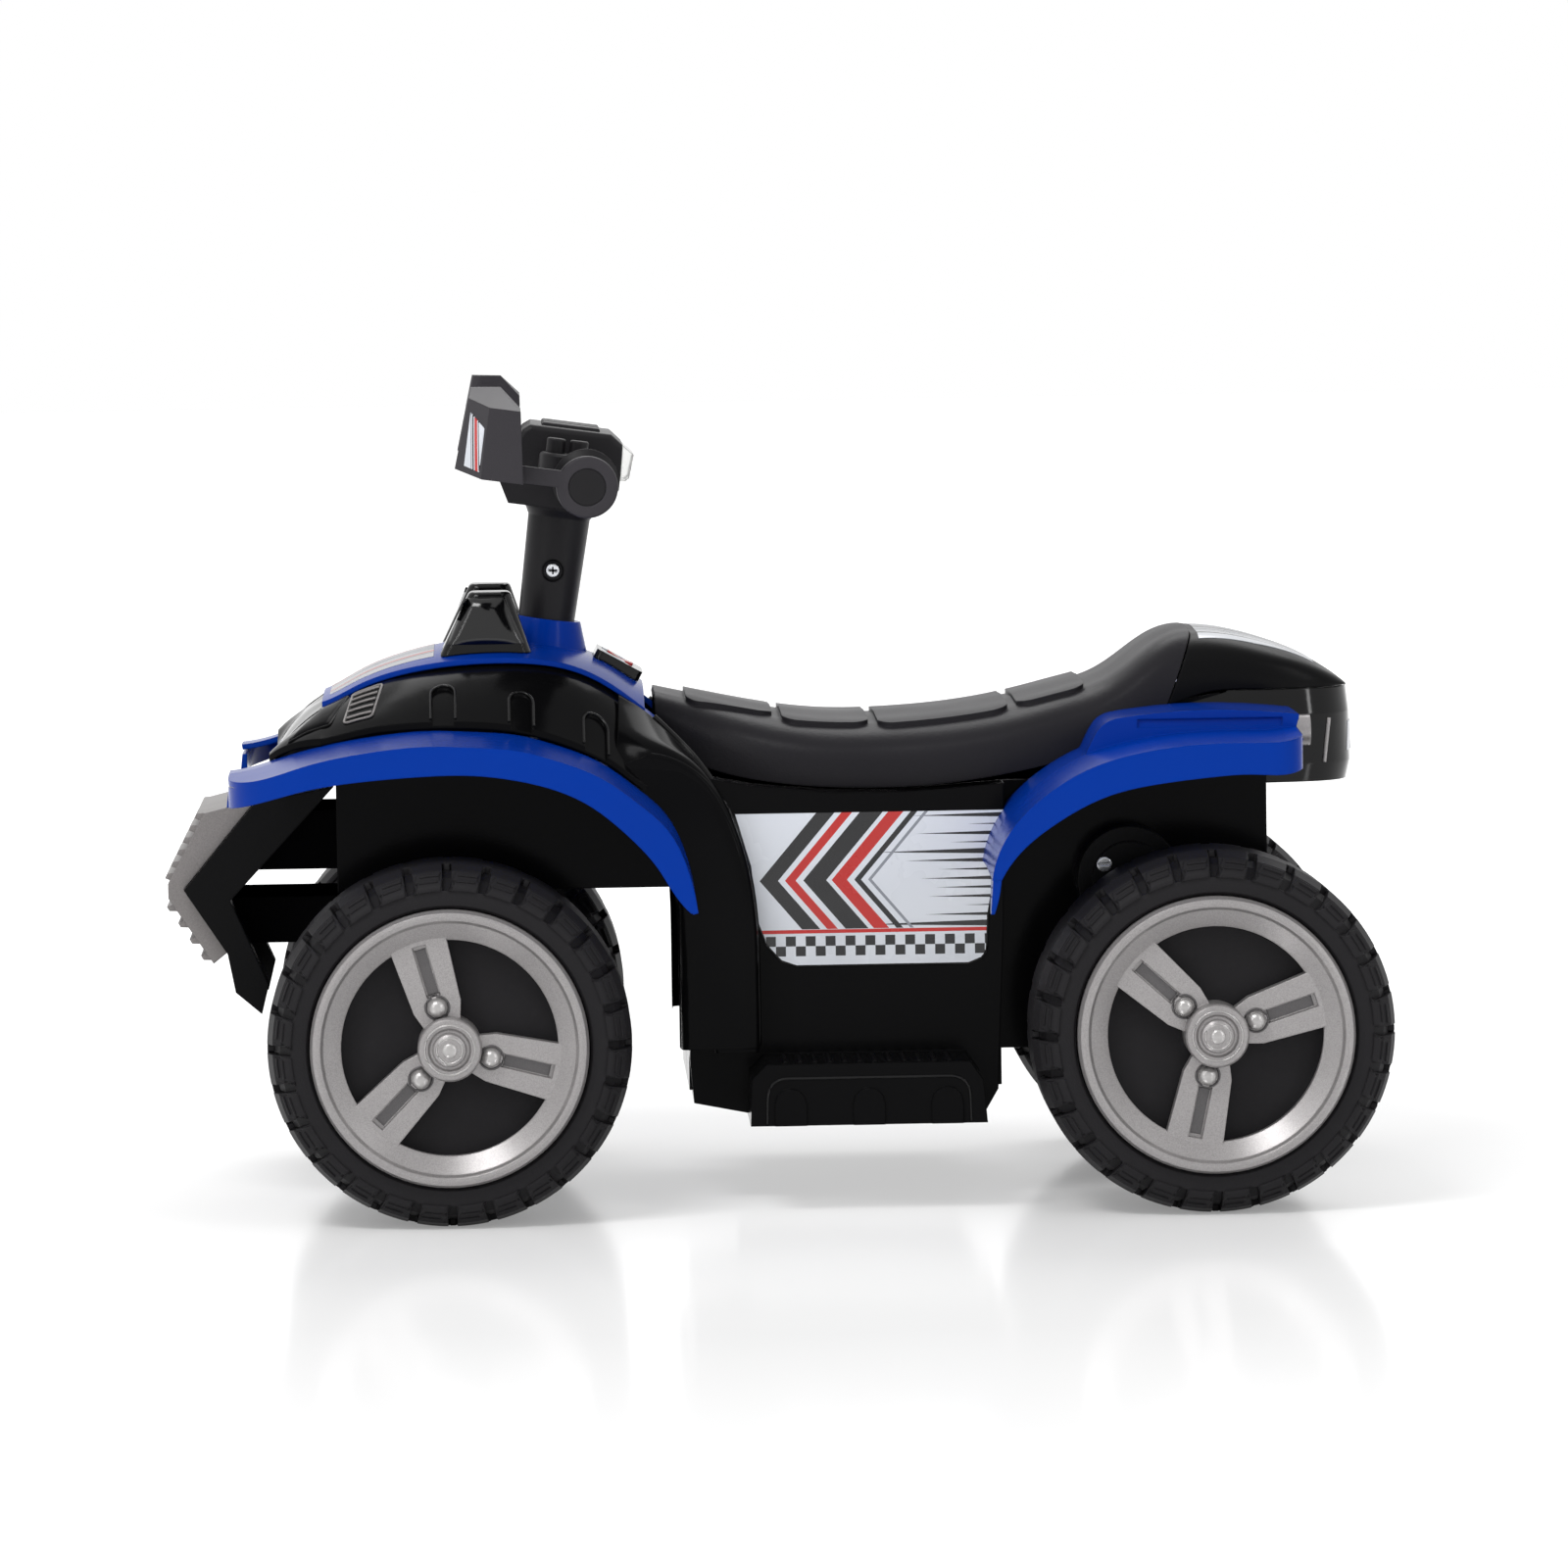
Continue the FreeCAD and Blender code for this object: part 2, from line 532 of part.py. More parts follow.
def make_column():
    """Tapered moulded column, the steel rod inside it with its crank, and the clamp screw."""
    column = new_body("steering_column")
    slack = "(Sizes.rod_radius + 0.1)"
    turned(column, [
        (slack, "-Sizes.column_sink"), ("Sizes.column_foot_radius", "-Sizes.column_sink"),
        ("Sizes.column_foot_radius", "0"), ("Sizes.column_top_radius", "Sizes.head_floor - 6"),
        ("Sizes.column_top_radius + 2", "Sizes.head_floor - 2"),
        ("Sizes.column_top_radius + 2", "Sizes.head_floor - 0.3"),
        (slack, "Sizes.head_floor - 0.3"),
    ])
    hole = sketch_on(column, "XZ_Plane", "Sizes.column_top_radius + 3")
    circle(hole, "0", "27", "4.2")
    column.Tip = feature(column, "Pocket", hole, Length="8")
    rake(column)
    shaft = rod("Z", "Sizes.rod_radius", f"Sizes.head_floor + 8 - {CRANK_W}", ("0", "0", CRANK_W))
    arm = box(("0", "Sizes.crank_arm"), ("-5", "5"), (CRANK_W, f"{CRANK_W} + 6"))
    eye = rod("Z", "6.5", "6", ("Sizes.crank_arm", "0", CRANK_W))
    boss = rod("Z", "9", "6", ("0", "0", CRANK_W))
    pin = rod("Z", "Sizes.pin_radius", "13", ("Sizes.crank_arm", "0", f"{CRANK_W} - 11"))
    rake(keep(joined(shaft, arm, eye, boss, pin), "steering_rod"))
    screw = rod("Y", "3.6", "3.2", ("0", "-Sizes.column_top_radius + 1.2", "27"))
    slot = box(("-2.6", "2.6"), ("-Sizes.column_top_radius", "-Sizes.column_top_radius + 2"),
               ("26.5", "27.5"))
    rake(keep(less(screw, slot), "column_screw"))
    bush_z = "Sizes.tub_front_floor"
    bush_x = f"(Sizes.pivot_x - (Sizes.pivot_z - {bush_z}) * tan(Sizes.rake))"
    sleeve = rod("Z", "9.5", "Sizes.wall + 12", (bush_x, "0", f"{bush_z} - 5"))
    flange = rod("Z", "13", "3", (bush_x, "0", f"{bush_z} + Sizes.wall"))
    bore = rod("Z", "Sizes.rod_radius + Sizes.running_gap", "250", ("0", "0", "-240"))
    keep(less(joined(sleeve, flange), rake(group(bore))), "steering_bush")


# Drive


def gear_outline(teeth, phase):
    """Corner points of a spur gear in the XZ plane, with a tooth at the phase angle."""
    module, pressure = size("Sizes.gear_module"), math.radians(25)
    pitch = module * teeth / 2
    base = pitch * math.cos(pressure)
    root, tip = pitch - 1.1 * module, pitch + 0.8 * module

    def involute(angle):
        return math.tan(angle) - angle
    half = math.pi / (2 * teeth) - size("Sizes.gear_backlash") / (2 * pitch)

    def flank(radius):
        turn = math.acos(min(1.0, base / max(radius, base)))
        return half + involute(pressure) - involute(turn)
    radii = [root] + [max(base, root) + (tip - max(base, root)) * i / 3 for i in range(4)]
    points = []
    for tooth in range(teeth):
        middle = phase + 2 * math.pi * tooth / teeth
        points += [(r, middle - flank(r)) for r in radii]
        points += [(r, middle + flank(r)) for r in reversed(radii)]
    return [Vector(r * math.cos(a), 0, r * math.sin(a)) for r, a in points]


def gear(centre, teeth, phase, y_near, y_far):
    """Spur gear between two distances to the left of the middle plane."""
    x, z = centre
    ring = [p + Vector(x, -y_near, z) for p in gear_outline(teeth, phase)]
    return Part.Face(Part.makePolygon(ring + ring[:1])).extrude(Vector(0, y_near - y_far, 0))


def barrel(centre, radius, y_near, y_far):
    """Cylinder between two distances to the left of the middle plane."""
    return Part.makeCylinder(radius, y_far - y_near, Vector(centre[0], -y_near, centre[1]),
                             Vector(0, -1, 0))


def hull(first, first_radius, second, second_radius, y_near, y_far):
    """Belt-shaped block around two circles."""
    run, rise = second[0] - first[0], second[1] - first[1]
    length = math.hypot(run, rise)
    spread = math.acos((first_radius - second_radius) / length)
    along = math.atan2(rise, run)

    def at(centre, radius, angle):
        return Vector(centre[0] + radius * math.cos(angle), -y_near, centre[1] + radius * math.sin(angle))
    a, b = along + spread, along - spread
    wire = Part.Wire([
        Part.Arc(at(first, first_radius, a), at(first, first_radius, along + math.pi),
                 at(first, first_radius, b)).toShape(),
        Part.makeLine(at(first, first_radius, b), at(second, second_radius, b)),
        Part.Arc(at(second, second_radius, b), at(second, second_radius, along),
                 at(second, second_radius, a)).toShape(),
        Part.makeLine(at(second, second_radius, a), at(first, first_radius, a)),
    ])
    return Part.Face(wire).extrude(Vector(0, y_near - y_far, 0))


def make_drive():
    """Motor, two-stage gear train and the split housing on the left of the rear axle."""
    module = size("Sizes.gear_module")
    counts = {n: int(size(f"Sizes.{n}_teeth")) for n in ("pinion", "idler", "idler_pinion", "drive")}
    near_stage = module * (counts["drive"] + counts["idler_pinion"]) / 2
    far_stage = near_stage + module * (counts["idler"] + counts["pinion"]) / 2
    lean = math.radians(90 + size("Sizes.train_lean"))
    axle = (size(REAR_X), size("Sizes.wheel_radius"))
    idler = (axle[0] + near_stage * math.cos(lean), axle[1] + near_stage * math.sin(lean))
    motor = (axle[0] + far_stage * math.cos(lean), axle[1] + far_stage * math.sin(lean))
    wall, depth = size("Sizes.box_wall"), size("Sizes.box_depth")
    inside = size("Sizes.tub_half_width + Sizes.seam")
    split = inside + depth / 2
    outside = inside + depth
    gap = size("Sizes.running_gap")
    width = size("Sizes.gear_width")
    first = inside + wall + 1
    second = first + width + 1
    bore = size(BORE)
    tip = module * (counts["drive"] / 2 + 0.8)
    big, small = tip + 3 + wall, size("Sizes.motor_radius") + 7.5 + wall
    pin = size("Sizes.idler_pin_radius")
    tooth = math.pi / counts["idler_pinion"]

    hub = barrel(axle, 11, second, outside + 3)
    half = size("Sizes.drive_square") / 2
    shank_end = size(WHEEL_IN) + 4 + size("Sizes.drive_depth") - 0.5
    shank = Part.makeBox(2 * half, shank_end - outside, 2 * half,
                         Vector(axle[0] - half, -shank_end, axle[1] - half))
    drive = gear(axle, counts["drive"], lean, second, second + width).fuse([hub, shank])
    moulding("drive_gear", drive.cut(barrel(axle, bore, 0, outside + 40)))

    wheel = gear(idler, counts["idler"], lean, first, first + width)
    lower = gear(idler, counts["idler_pinion"], lean + math.pi + tooth, first + width - 0.5, second + width)
    moulding("idler_gear", wheel.fuse(lower).cut(barrel(idler, pin + gap, 0, outside)))

    teeth = gear(motor, counts["pinion"], lean + math.pi + tooth, first, first + width)
    shaft = barrel(motor, 2.5, inside - 12, first + width - 1)
    moulding("motor_pinion", teeth.fuse(shaft))

    can = barrel(motor, size("Sizes.motor_radius"), inside - size("Sizes.motor_length"), inside)
    nose = barrel(motor, 6.5, inside - 1, inside + wall - 0.2)
    well = barrel(motor, 2.5 + gap, inside - 13, inside + wall + 1)
    moulding("motor", can.fuse(nose).cut(well))

    def shell(y_near, y_far, hollow_near, hollow_far):
        body = hull(axle, big, motor, small, y_near, y_far)
        return body.cut(hull(axle, big - wall, motor, small - wall, hollow_near, hollow_far))
    inner = shell(inside, split, inside + wall, split + 1)
    inner = inner.cut(barrel(motor, 7, 0, outside))
    inner = inner.fuse([barrel(idler, pin, inside + 1, outside - wall - 0.3),
                        barrel(idler, pin + 3, inside + 1, first - 0.3)])
    moulding("gearbox_inner_half", inner.cut(barrel(axle, bore + 0.3, 0, outside + 1)))
    outer = shell(split + 0.1, outside, split - 1, outside - wall)
    across = (math.cos(lean + math.pi / 2), math.sin(lean + math.pi / 2))
    spots = []
    for along, offset in ((-0.44, 0.0), (0.5, 0.42), (0.5, -0.42)):
        spots.append((axle[0] + far_stage * (along * math.cos(lean) + offset * across[0]),
                      axle[1] + far_stage * (along * math.sin(lean) + offset * across[1])))
    outer = outer.fuse(barrel(motor, small - 8, outside - 1, outside + 2))
    moulding("gearbox_outer_half", outer.cut(barrel(axle, 11.5, 0, outside + 4)))
    heads = []
    for turn in (30, 150, 270):
        spot = (motor[0] + (small - 12) * math.cos(math.radians(turn)),
                motor[1] + (small - 12) * math.sin(math.radians(turn)))
        head = barrel(spot, size("Sizes.screw_radius"), outside + 2, outside + 4.2)
        heads.append(head.cut(Part.makeBox(6, 2, 1, Vector(spot[0] - 3, -outside - 5, spot[1] - 0.5))))
    moulding("gearbox_screws", Part.makeCompound(heads))
    return axle, motor


# Moulded body

FRONT_FENDER = [(-116, -21), (-100, -18), (-76, -10), (-42, -3), (-7, 0), (16, -1), (38, -3), (60, -9),
                (82, -18),
                (103, -33), (117, -46), (127, -65), (133, -91)]
FRONT_SKIRT = [(129, -91), (122, -83), (112, -67), (96, -49), (73, -31), (60, -25), (38, -19), (16, -16),
               (-13, -16),
               (-42, -18), (-76, -23), (-101, -30), (-117, -34)]
REAR_FENDER = [(-118, -71), (-107, -44), (-90, -27), (-69, -14), (-41, -5), (-13, -1), (15, 0), (35, 0),
               (49, 2)]
REAR_SKIRT = [(49, -15), (42, -17), (21, -17), (0, -18), (-27, -21), (-55, -27), (-83, -41), (-104, -58),
              (-113, -71)]
TIER = [(-67, -14), (-61, -3), (-53, 8), (-42, 11), (-22, 13), (6, 14), (30, 13), (51, 11)]
SEAT = [(-61, 44, 250, 275.5), (-41, 56, 237, 271), (-10, 72, 228.5, 264), (32, 81, 224, 258),
        (69, 83, 223.5, 258),
        (98, 85, 225.5, 260), (126, 85, 229.5, 264), (160, 82, 236.5, 272), (181, 79, 243.5, 278),
        (200, 75, 252, 290),
        (216, 71, 259, 301), (236, 66, 266, 304.5)]
TAIL = [(212, 72, 263, 299), (225, 69, 267, 303), (241, 67.5, 271.5, 303.5), (264, 66.5, 272.5, 299.5),
        (282, 64.5, 272.5, 293.8), (297, 60.5, 272.6, 287.3), (308, 55, 272.8, 280.8),
        (314.5, 49, 273, 276.2),
        (317, 45.5, 273, 273.9)]
TAIL_PLAN = [(214, 70), (240, 68.5), (264, 67), (290, 63.5), (306, 57), (316, 45), (320.5, 24), (321.5, 0)]
HOOD = [(-242, 58, 275, 273.5), (-222, 66, 285.5, 283), (-197, 72, 295, 291.5), (-173, 75, 300.5, 295.5),
        (-151, 75, 302.5, 296.8), (-129, 75, 301.5, 296.2), (-106, 75, 297.5, 292), (-94, 75, 293.5, 287),
        (-84, 75, 288.5, 281), (-67, 74, 278, 268)]
COWL = [120.6, 120.6, 120.6, 120.6, 120.6, 120.6, 120.6, 120.6, 120.6, 119.6]
COWL_EDGE = [256.5, 261, 264, 264.5, 263.5, 260, 252.5, 247, 241, 228]
NOSE = [(-256, 110, 254, 259.5, 260.5), (-270, 96, 246.5, 243.5, 242.5)]
FLUTES = [(-176, 92), (-134, 97), (-94, 98)]


def shifted(points, x, z):
    return [(px + x, pz + z) for px, pz in points]


def crosswise(stations):
    """Rounded sections across the bike from (x, half width, edge height, crown height) stations."""
    rows = []
    for x, half, low, high in stations:
        rise = high - low
        right = [(0.45, high - 0.03 * rise), (0.8, high - 0.12 * rise), (0.965, low + 0.62 * rise),
                 (1.0, low + 0.25 * rise),
                 (0.995, low)]
        left = [(-part, z) for part, z in reversed(right)]
        rows.append([(x, part * half, z) for part, z in left + [(0.0, high)] + right])
    return rows


def vault(stations):
    """Solid arch through closed sections across the bike."""
    wires = [Part.Wire([curve(row), Part.makeLine(row[-1], row[0])]) for row in crosswise(stations)]
    return Part.makeLoft(wires, True, False)


def seat_plan(grow):
    """Prism over the seat's outline from above, wider by grow all round."""
    right = [(x, half + grow) for x, half, low, high in SEAT]
    right[0] = (right[0][0] - grow, right[0][1])
    ring = [Vector(x, y, 150) for x, y in right] + [Vector(x, -y, 150) for x, y in reversed(right)]
    return Part.Face(Part.makePolygon(ring + ring[:1])).extrude(Vector(0, 0, 200))


def block(x, y, z):
    return Part.makeBox(x[1] - x[0], y[1] - y[0], z[1] - z[0], Vector(x[0], y[0], z[0]))


def pair(shape):
    """A shape on the left side and its mirror image."""
    return shape, mirrored(shape)


def make_tub(axle, motor):
    """Open-topped chassis tub with the battery well, footboards and rear drive box."""
    body = new_body("body_tub")
    wall = "Sizes.wall"
    front, rear, floor = "Sizes.tub_front", "Sizes.tub_rear", "Sizes.tub_front_floor"
    belly, behind, ground = "Sizes.belly_front", "Sizes.belly_rear", "Sizes.belly_floor"
    top = "Sizes.tub_top"
    slab(body, [(front, floor), (f"{belly} - 6", floor), (belly, f"{floor} - 6"), (belly, f"{ground} + 12"),
                (behind, f"{ground} + 12"), (behind, "Sizes.tub_rear_floor"),
                (rear, "Sizes.tub_rear_floor"), (rear, top),
                (behind, f"{top} - 2"), ("40", f"{top} - 8"), ("-30", f"{top} - 1"), ("-58", f"{top} + 4"),
                ("-75", f"{top} + 20"), (front, f"{top} + 20")], "2 * Sizes.tub_half_width")
    slab(body, [(belly, f"{ground} + 32"), (f"{belly} + 2", f"{ground} + 7"), ("-14", f"{ground} + 1"),
                ("18", ground),
                (f"{behind} - 10", ground), (f"{behind} - 3", f"{ground} + 12"), (f"{behind} + 1", "150"),
                (f"{behind} + 2", f"{top} - 2"),
                ("98", f"{top} - 4.5"), ("69", f"{top} - 6"), ("32", f"{top} - 5.6"),
                ("-10", f"{top} - 1.5"), ("-33", f"{top} + 3"),
                ("-40", "180")],
         "2 * Sizes.belly_half_width")
    board = "Sizes.board_top"
    slab(body, [("Sizes.board_front", ground), ("Sizes.board_rear", ground),
                ("Sizes.board_rear - 2", f"{board} - 10"),
                ("Sizes.board_rear - 9", board), ("Sizes.board_front + 9", board),
                ("Sizes.board_front + 1", f"{board} - 8")],
         "2 * Sizes.board_outer")
    for step in range(3):
        at = f"(Sizes.board_front + 21.5 + {step} * 42)"
        arch = [(f"{at} + {8.5 * math.cos(math.radians(t)):.3f}",
                 f"{board} - 21.5 + {8.5 * math.sin(math.radians(t)):.3f}")
                for t in range(0, 181, 30)]
        slab(body, [(f"{at} - 8.5", ground), (f"{at} + 8.5", ground), *arch], "2 * Sizes.board_outer + 3")
    slab(body, [(f"{front} + {wall}", f"{floor} + {wall}"), (f"{belly} - 5", f"{floor} + {wall}"),
                (f"{belly} + {wall}", f"{floor} - 5"), (f"{belly} + {wall}", f"{ground} + 15"),
                (f"{behind} + {wall}", f"{ground} + 15"), (f"{behind} + {wall}",
                                                           f"Sizes.tub_rear_floor + {wall}"),
                (f"{rear} - {wall}", f"Sizes.tub_rear_floor + {wall}"), (f"{rear} - {wall}", f"{top} + 60"),
                (f"{front} + {wall}", f"{top} + 60")], f"2 * (Sizes.tub_half_width - {wall})", "Pocket")
    slab(body, [(f"{belly} + {wall}", f"{ground} + 32"), (f"{belly} + 5", f"{ground} + 15"),
                (f"{behind} - 6", f"{ground} + 15"), (f"{behind} - 2", "150"),
                (f"{behind} - 1", f"{top} - 5.5"),
                ("98", f"{top} - 8"), ("69", f"{top} - 9.5"), ("32", f"{top} - 9.1"), ("-10", f"{top} - 5"),
                ("-30", f"{top} - 1"), ("-37", "180")],
         f"2 * (Sizes.belly_half_width - {wall})", "Pocket")
    bores = sketch_on(body, "XZ_Plane")
    circle(bores, REAR_X, "Sizes.wheel_radius", "Sizes.axle_radius + 0.1")
    feature(body, "Pocket", bores, Length="2 * Sizes.tub_half_width + 4").Midplane = True
    port = sketch_on(body, "XZ_Plane", "Sizes.tub_half_width + 1")
    reach = ("Sizes.gear_module * (Sizes.drive_teeth + Sizes.idler_pinion_teeth + Sizes.idler_teeth"
             " + Sizes.pinion_teeth) / 2")
    circle(port, f"{REAR_X} - {reach} * sin(Sizes.train_lean)",
           f"Sizes.wheel_radius + {reach} * cos(Sizes.train_lean)",
           "Sizes.motor_radius + 0.2")
    feature(body, "Pocket", port, Length=f"{wall} + 3")
    eye = sketch_on(body, "XY_Plane", f"{floor} + 1")
    circle(eye, f"Sizes.pivot_x - (Sizes.pivot_z - {floor}) * tan(Sizes.rake)", "0", "9.7")
    feature(body, "Pocket", eye, Length="12").Midplane = True
    hinge = ("Sizes.board_rear - 26", "Sizes.board_top + 5")
    for y in ("Sizes.board_outer - 43", "Sizes.board_outer - 3"):
        lug = sketch_on(body, "XZ_Plane", f"-({y})")
        polygon(lug, [(f"{hinge[0]} - 5", f"{board} - 1"), (f"{hinge[0]} + 5", f"{board} - 1"),
                      (f"{hinge[0]} + 5", f"{board} + 9"), (f"{hinge[0]} - 5", f"{board} + 9")])
        feature(body, "Pad", lug, Length="4")
    pin = sketch_on(body, "XZ_Plane", "-(Sizes.board_outer - 1)")
    circle(pin, hinge[0], hinge[1], "2 + Sizes.running_gap")
    hole = feature(body, "Pocket", pin, Length="50")
    hole.Reversed = True
    body.Tip = hole
    return body


def hood_skin(grow=0.0):
    """Gently crowned outer face of the hood panel, larger all round by grow."""
    rows = []
    for i, (x, half, crown, low) in enumerate(HOOD):
        x += grow * ((i == len(HOOD) - 1) - (i == 0))
        half += grow
        right = [(part, crown - (crown - low) * part ** 2.6) for part in (0.35, 0.65, 0.88, 1.0)]
        rows.append([(x, -part * half, z) for part, z in reversed(right)] + [(x, 0, crown)]
                    + [(x, part * half, z) for part, z in right])
    return skin(rows)


def flute(x, y, skin_layer):
    """Round-topped groove down the left slope of the cowl, from y outwards."""
    width = 6
    slot = block((x - width, x + width), (-140, -y - width), (200, 320))
    slot = slot.fuse(Part.makeCylinder(width, 120, Vector(x, -y - width, 200)))
    return skin_layer.common(slot)


def make_cowl_and_hood():
    """Black front cowl, blue hood panel on it, the lamp pods and the dash."""
    seam = size("Sizes.seam")
    side = size("Sizes.belly_half_width") + seam
    under_hood = size("Sizes.wall + Sizes.seam") + 0.3

    def section(x, half, low, edge, crown):
        right = [(38, crown - 0.6), (72, edge), (0.5 * (72 + half), 0.5 * (edge + low) + 3),
                 (half, low + 1.2)]
        return [(x, -y, z) for y, z in reversed(right)] + [(x, 0, crown)] + [(x, y, z) for y, z in right]
    rows = [section(x, half, low, edge - under_hood, crown - under_hood - 1)
            for (x, _, crown, edge), half, low in zip(HOOD, COWL, COWL_EDGE)]
    nose = [section(*station) for station in reversed(NOSE)] + rows[:1]
    top = hood_skin()
    bed = hood_skin(1.4).translated(Vector(0, 0, -size("Sizes.wall + Sizes.seam") - 1.2))
    bed = bed.extrude(Vector(0, 0, 30))
    drop = Vector(0, 0, -size("Sizes.wall") - 1)
    cowl = skin(rows).extrude(drop).fuse(skin(nose).extrude(drop)).cut(bed)
    rear_edge = [(-64, 247), (-50, 243), (-36, 233), (-22, 211.5), (-13, 183), (-9.5, 153), (-9, 120),
                 (-9, 84)]
    front_edge = [(-33, 84), (-34, 105), (-36, 130), (-43, 162), (-51, 190), (-58, 206), (-69, 222),
                  (-83, 240)]
    leg = fin(rear_edge, front_edge, -side, -side - 19)
    rims = [e for e in leg.Edges if e.BoundBox.YMax < -side - 18.9 and e.BoundBox.ZLength > 100]
    leg = leg.makeFillet(3, rims)
    chin = plate([(-269.9, 240.5), (-265.5, 240.5), (-259, 227.5), (-263.4, 227.5)], -76, 76)
    cowl = cowl.fuse([*pair(leg), chin])
    trail = [(-69, 268.6), (-66, 266.6), (-57, 258.6), (-50, 250)]
    stripe = shelf(trail, size("Sizes.wall"), [(-75, -1), (-64, 0.5)])
    room = shelf([(-69.6, 269.1), *trail[1:]], size("Sizes.wall") + 0.8, [(-75.6, -1), (-63.4, 0.5)])
    frame = steering_frame()
    shaft = Part.makeCylinder(22, 200, Vector(0, 0, -150))
    shaft.Placement = frame
    layer = skin(rows).extrude(Vector(0, 0, -2.2))
    flutes = [flute(x, y, layer) for x, y in FLUTES]
    cowl = cowl.cut([shaft, *pair(room), *[side_flute for one in flutes for side_flute in pair(one)]])
    cowl = max(cowl.Solids, key=lambda solid: solid.Volume)
    moulding("front_cowl", cowl)

    hood = top.extrude(Vector(0, 0, -size("Sizes.wall")))
    collar = Part.makeCone(25, 18.8, size("Sizes.collar_height"),
                           Vector(0, 0, -size("Sizes.collar_height")))
    collar.Placement = frame
    bore = Part.makeCylinder(size("Sizes.column_foot_radius") + 0.25, 120, Vector(0, 0, -60))
    bore.Placement = frame
    hood = hood.fuse([collar, *pair(stripe)]).cut(bore)
    moulding("hood_panel", hood)

    under = top.translated(Vector(0, 0, 0.4)).extrude(Vector(0, 0, -60))
    pod_y, pod_top = size("Sizes.pod_y"), size("Sizes.pod_height")
    foot = [(-177, -20), (-128, -20), (-128, 20), (-177, 20)]
    crown = [(-161, -11), (-139, -11), (-139, 11), (-161, 11)]

    def ring(corners, z):
        points = [Vector(x, -pod_y + y, z) for x, y in corners]
        return Part.makePolygon(points + points[:1])
    base = size("Sizes.hood_top") - 2
    pod = Part.makeLoft([ring(foot, base - 14), ring(foot, base - 3), ring(crown, base + pod_top)], True,
                        True)
    upright = [e for e in pod.Edges if abs(e.Vertexes[0].Z - e.Vertexes[1].Z) > 20]
    pod = pod.makeFillet(6, upright)
    pod = pod.makeFillet(3, [e for e in pod.Edges if min(v.Z for v in e.Vertexes) > base + pod_top - 0.1])
    pod = pod.cut(under)
    moulding("lamp_pods", Part.makeCompound(pair(pod)))

    slope = Placement(Vector(-80, 0, 287.5), Rotation(Vector(0, 1, 0), 29))
    bezel = block((-15, 13), (-24, 24), (-6, 3.5))
    bezel = bezel.makeFillet(4, [e for e in bezel.Edges if abs(e.Vertexes[0].Z - e.Vertexes[1].Z) > 5])
    bezel = bezel.cut(block((-9.3, 7.3), (-6.3, 6.3), (-1.2, 8)))
    pivot = Vector(-1, -8, 1.5)
    bezel = bezel.cut(Part.makeCylinder(1.2 + size("Sizes.running_gap"), 16, pivot, Vector(0, 1, 0)))
    bezel.Placement = slope
    moulding("dash_bezel", bezel.cut(under))
    key = plate([(-8.8, 1.2), (-8.8, 4.6), (0, 3.4), (6.8, 4.6), (6.8, 1.2), (0, -0.4)], -5.9, 5.9)
    key = key.fuse(Part.makeCylinder(1.2, 15, pivot + Vector(0, 0.5, 0), Vector(0, 1, 0)))
    key.Placement = slope
    moulding("rocker_switch", key)
    return under


def outside_corner(x, y, turn, inset, way):
    """What lies outside a rounded fender corner; way is +1 for a front corner and -1 for a rear one."""
    centre = x + way * turn
    square = block(sorted((x - way * 30, centre)), (y - 30, y + turn), (150, 320))
    return square.cut(Part.makeCylinder(turn - inset, 170, Vector(centre, y + turn, 150)))


def make_front_fenders():
    """Flared front fenders with a turned-down lip and a flange that butts against the tub."""
    x0, z0 = size("Sizes.front_axle_x"), size("Sizes.fender_top")
    outer, inner = size("Sizes.fender_outer"), size("Sizes.fender_inner")
    wall, lift = size("Sizes.wall"), 4
    tub = size("Sizes.tub_half_width + Sizes.seam")
    rim = shifted(FRONT_FENDER, x0, z0)
    tip, turn = rim[0][0], 44
    roof = shelf(rim, wall, [(-outer, 0), (-inner, lift), (-tub, lift)])
    skirt = fin(offset_points(rim, wall / 2), shifted(FRONT_SKIRT, x0, z0), -outer, -inner + 24)

    hollow = block((tip + wall, 20), (-outer + wall, 0),
                   (100, 320)).cut(outside_corner(tip, -outer, turn, wall, 1))
    lip = skirt.cut(hollow)
    fender = roof.fuse(lip).cut(block((x0 + 90, 0), (-inner, 0), (100, 300)))
    fender = fender.cut([outside_corner(tip, -outer, turn, 0, 1),
                         block((tip - 5, -252), (-inner + 23, 0), (150, 320))])
    fender = max(fender.Solids, key=lambda solid: solid.Volume)
    moulding("front_fender_left", fender)
    moulding("front_fender_right", mirrored(fender))


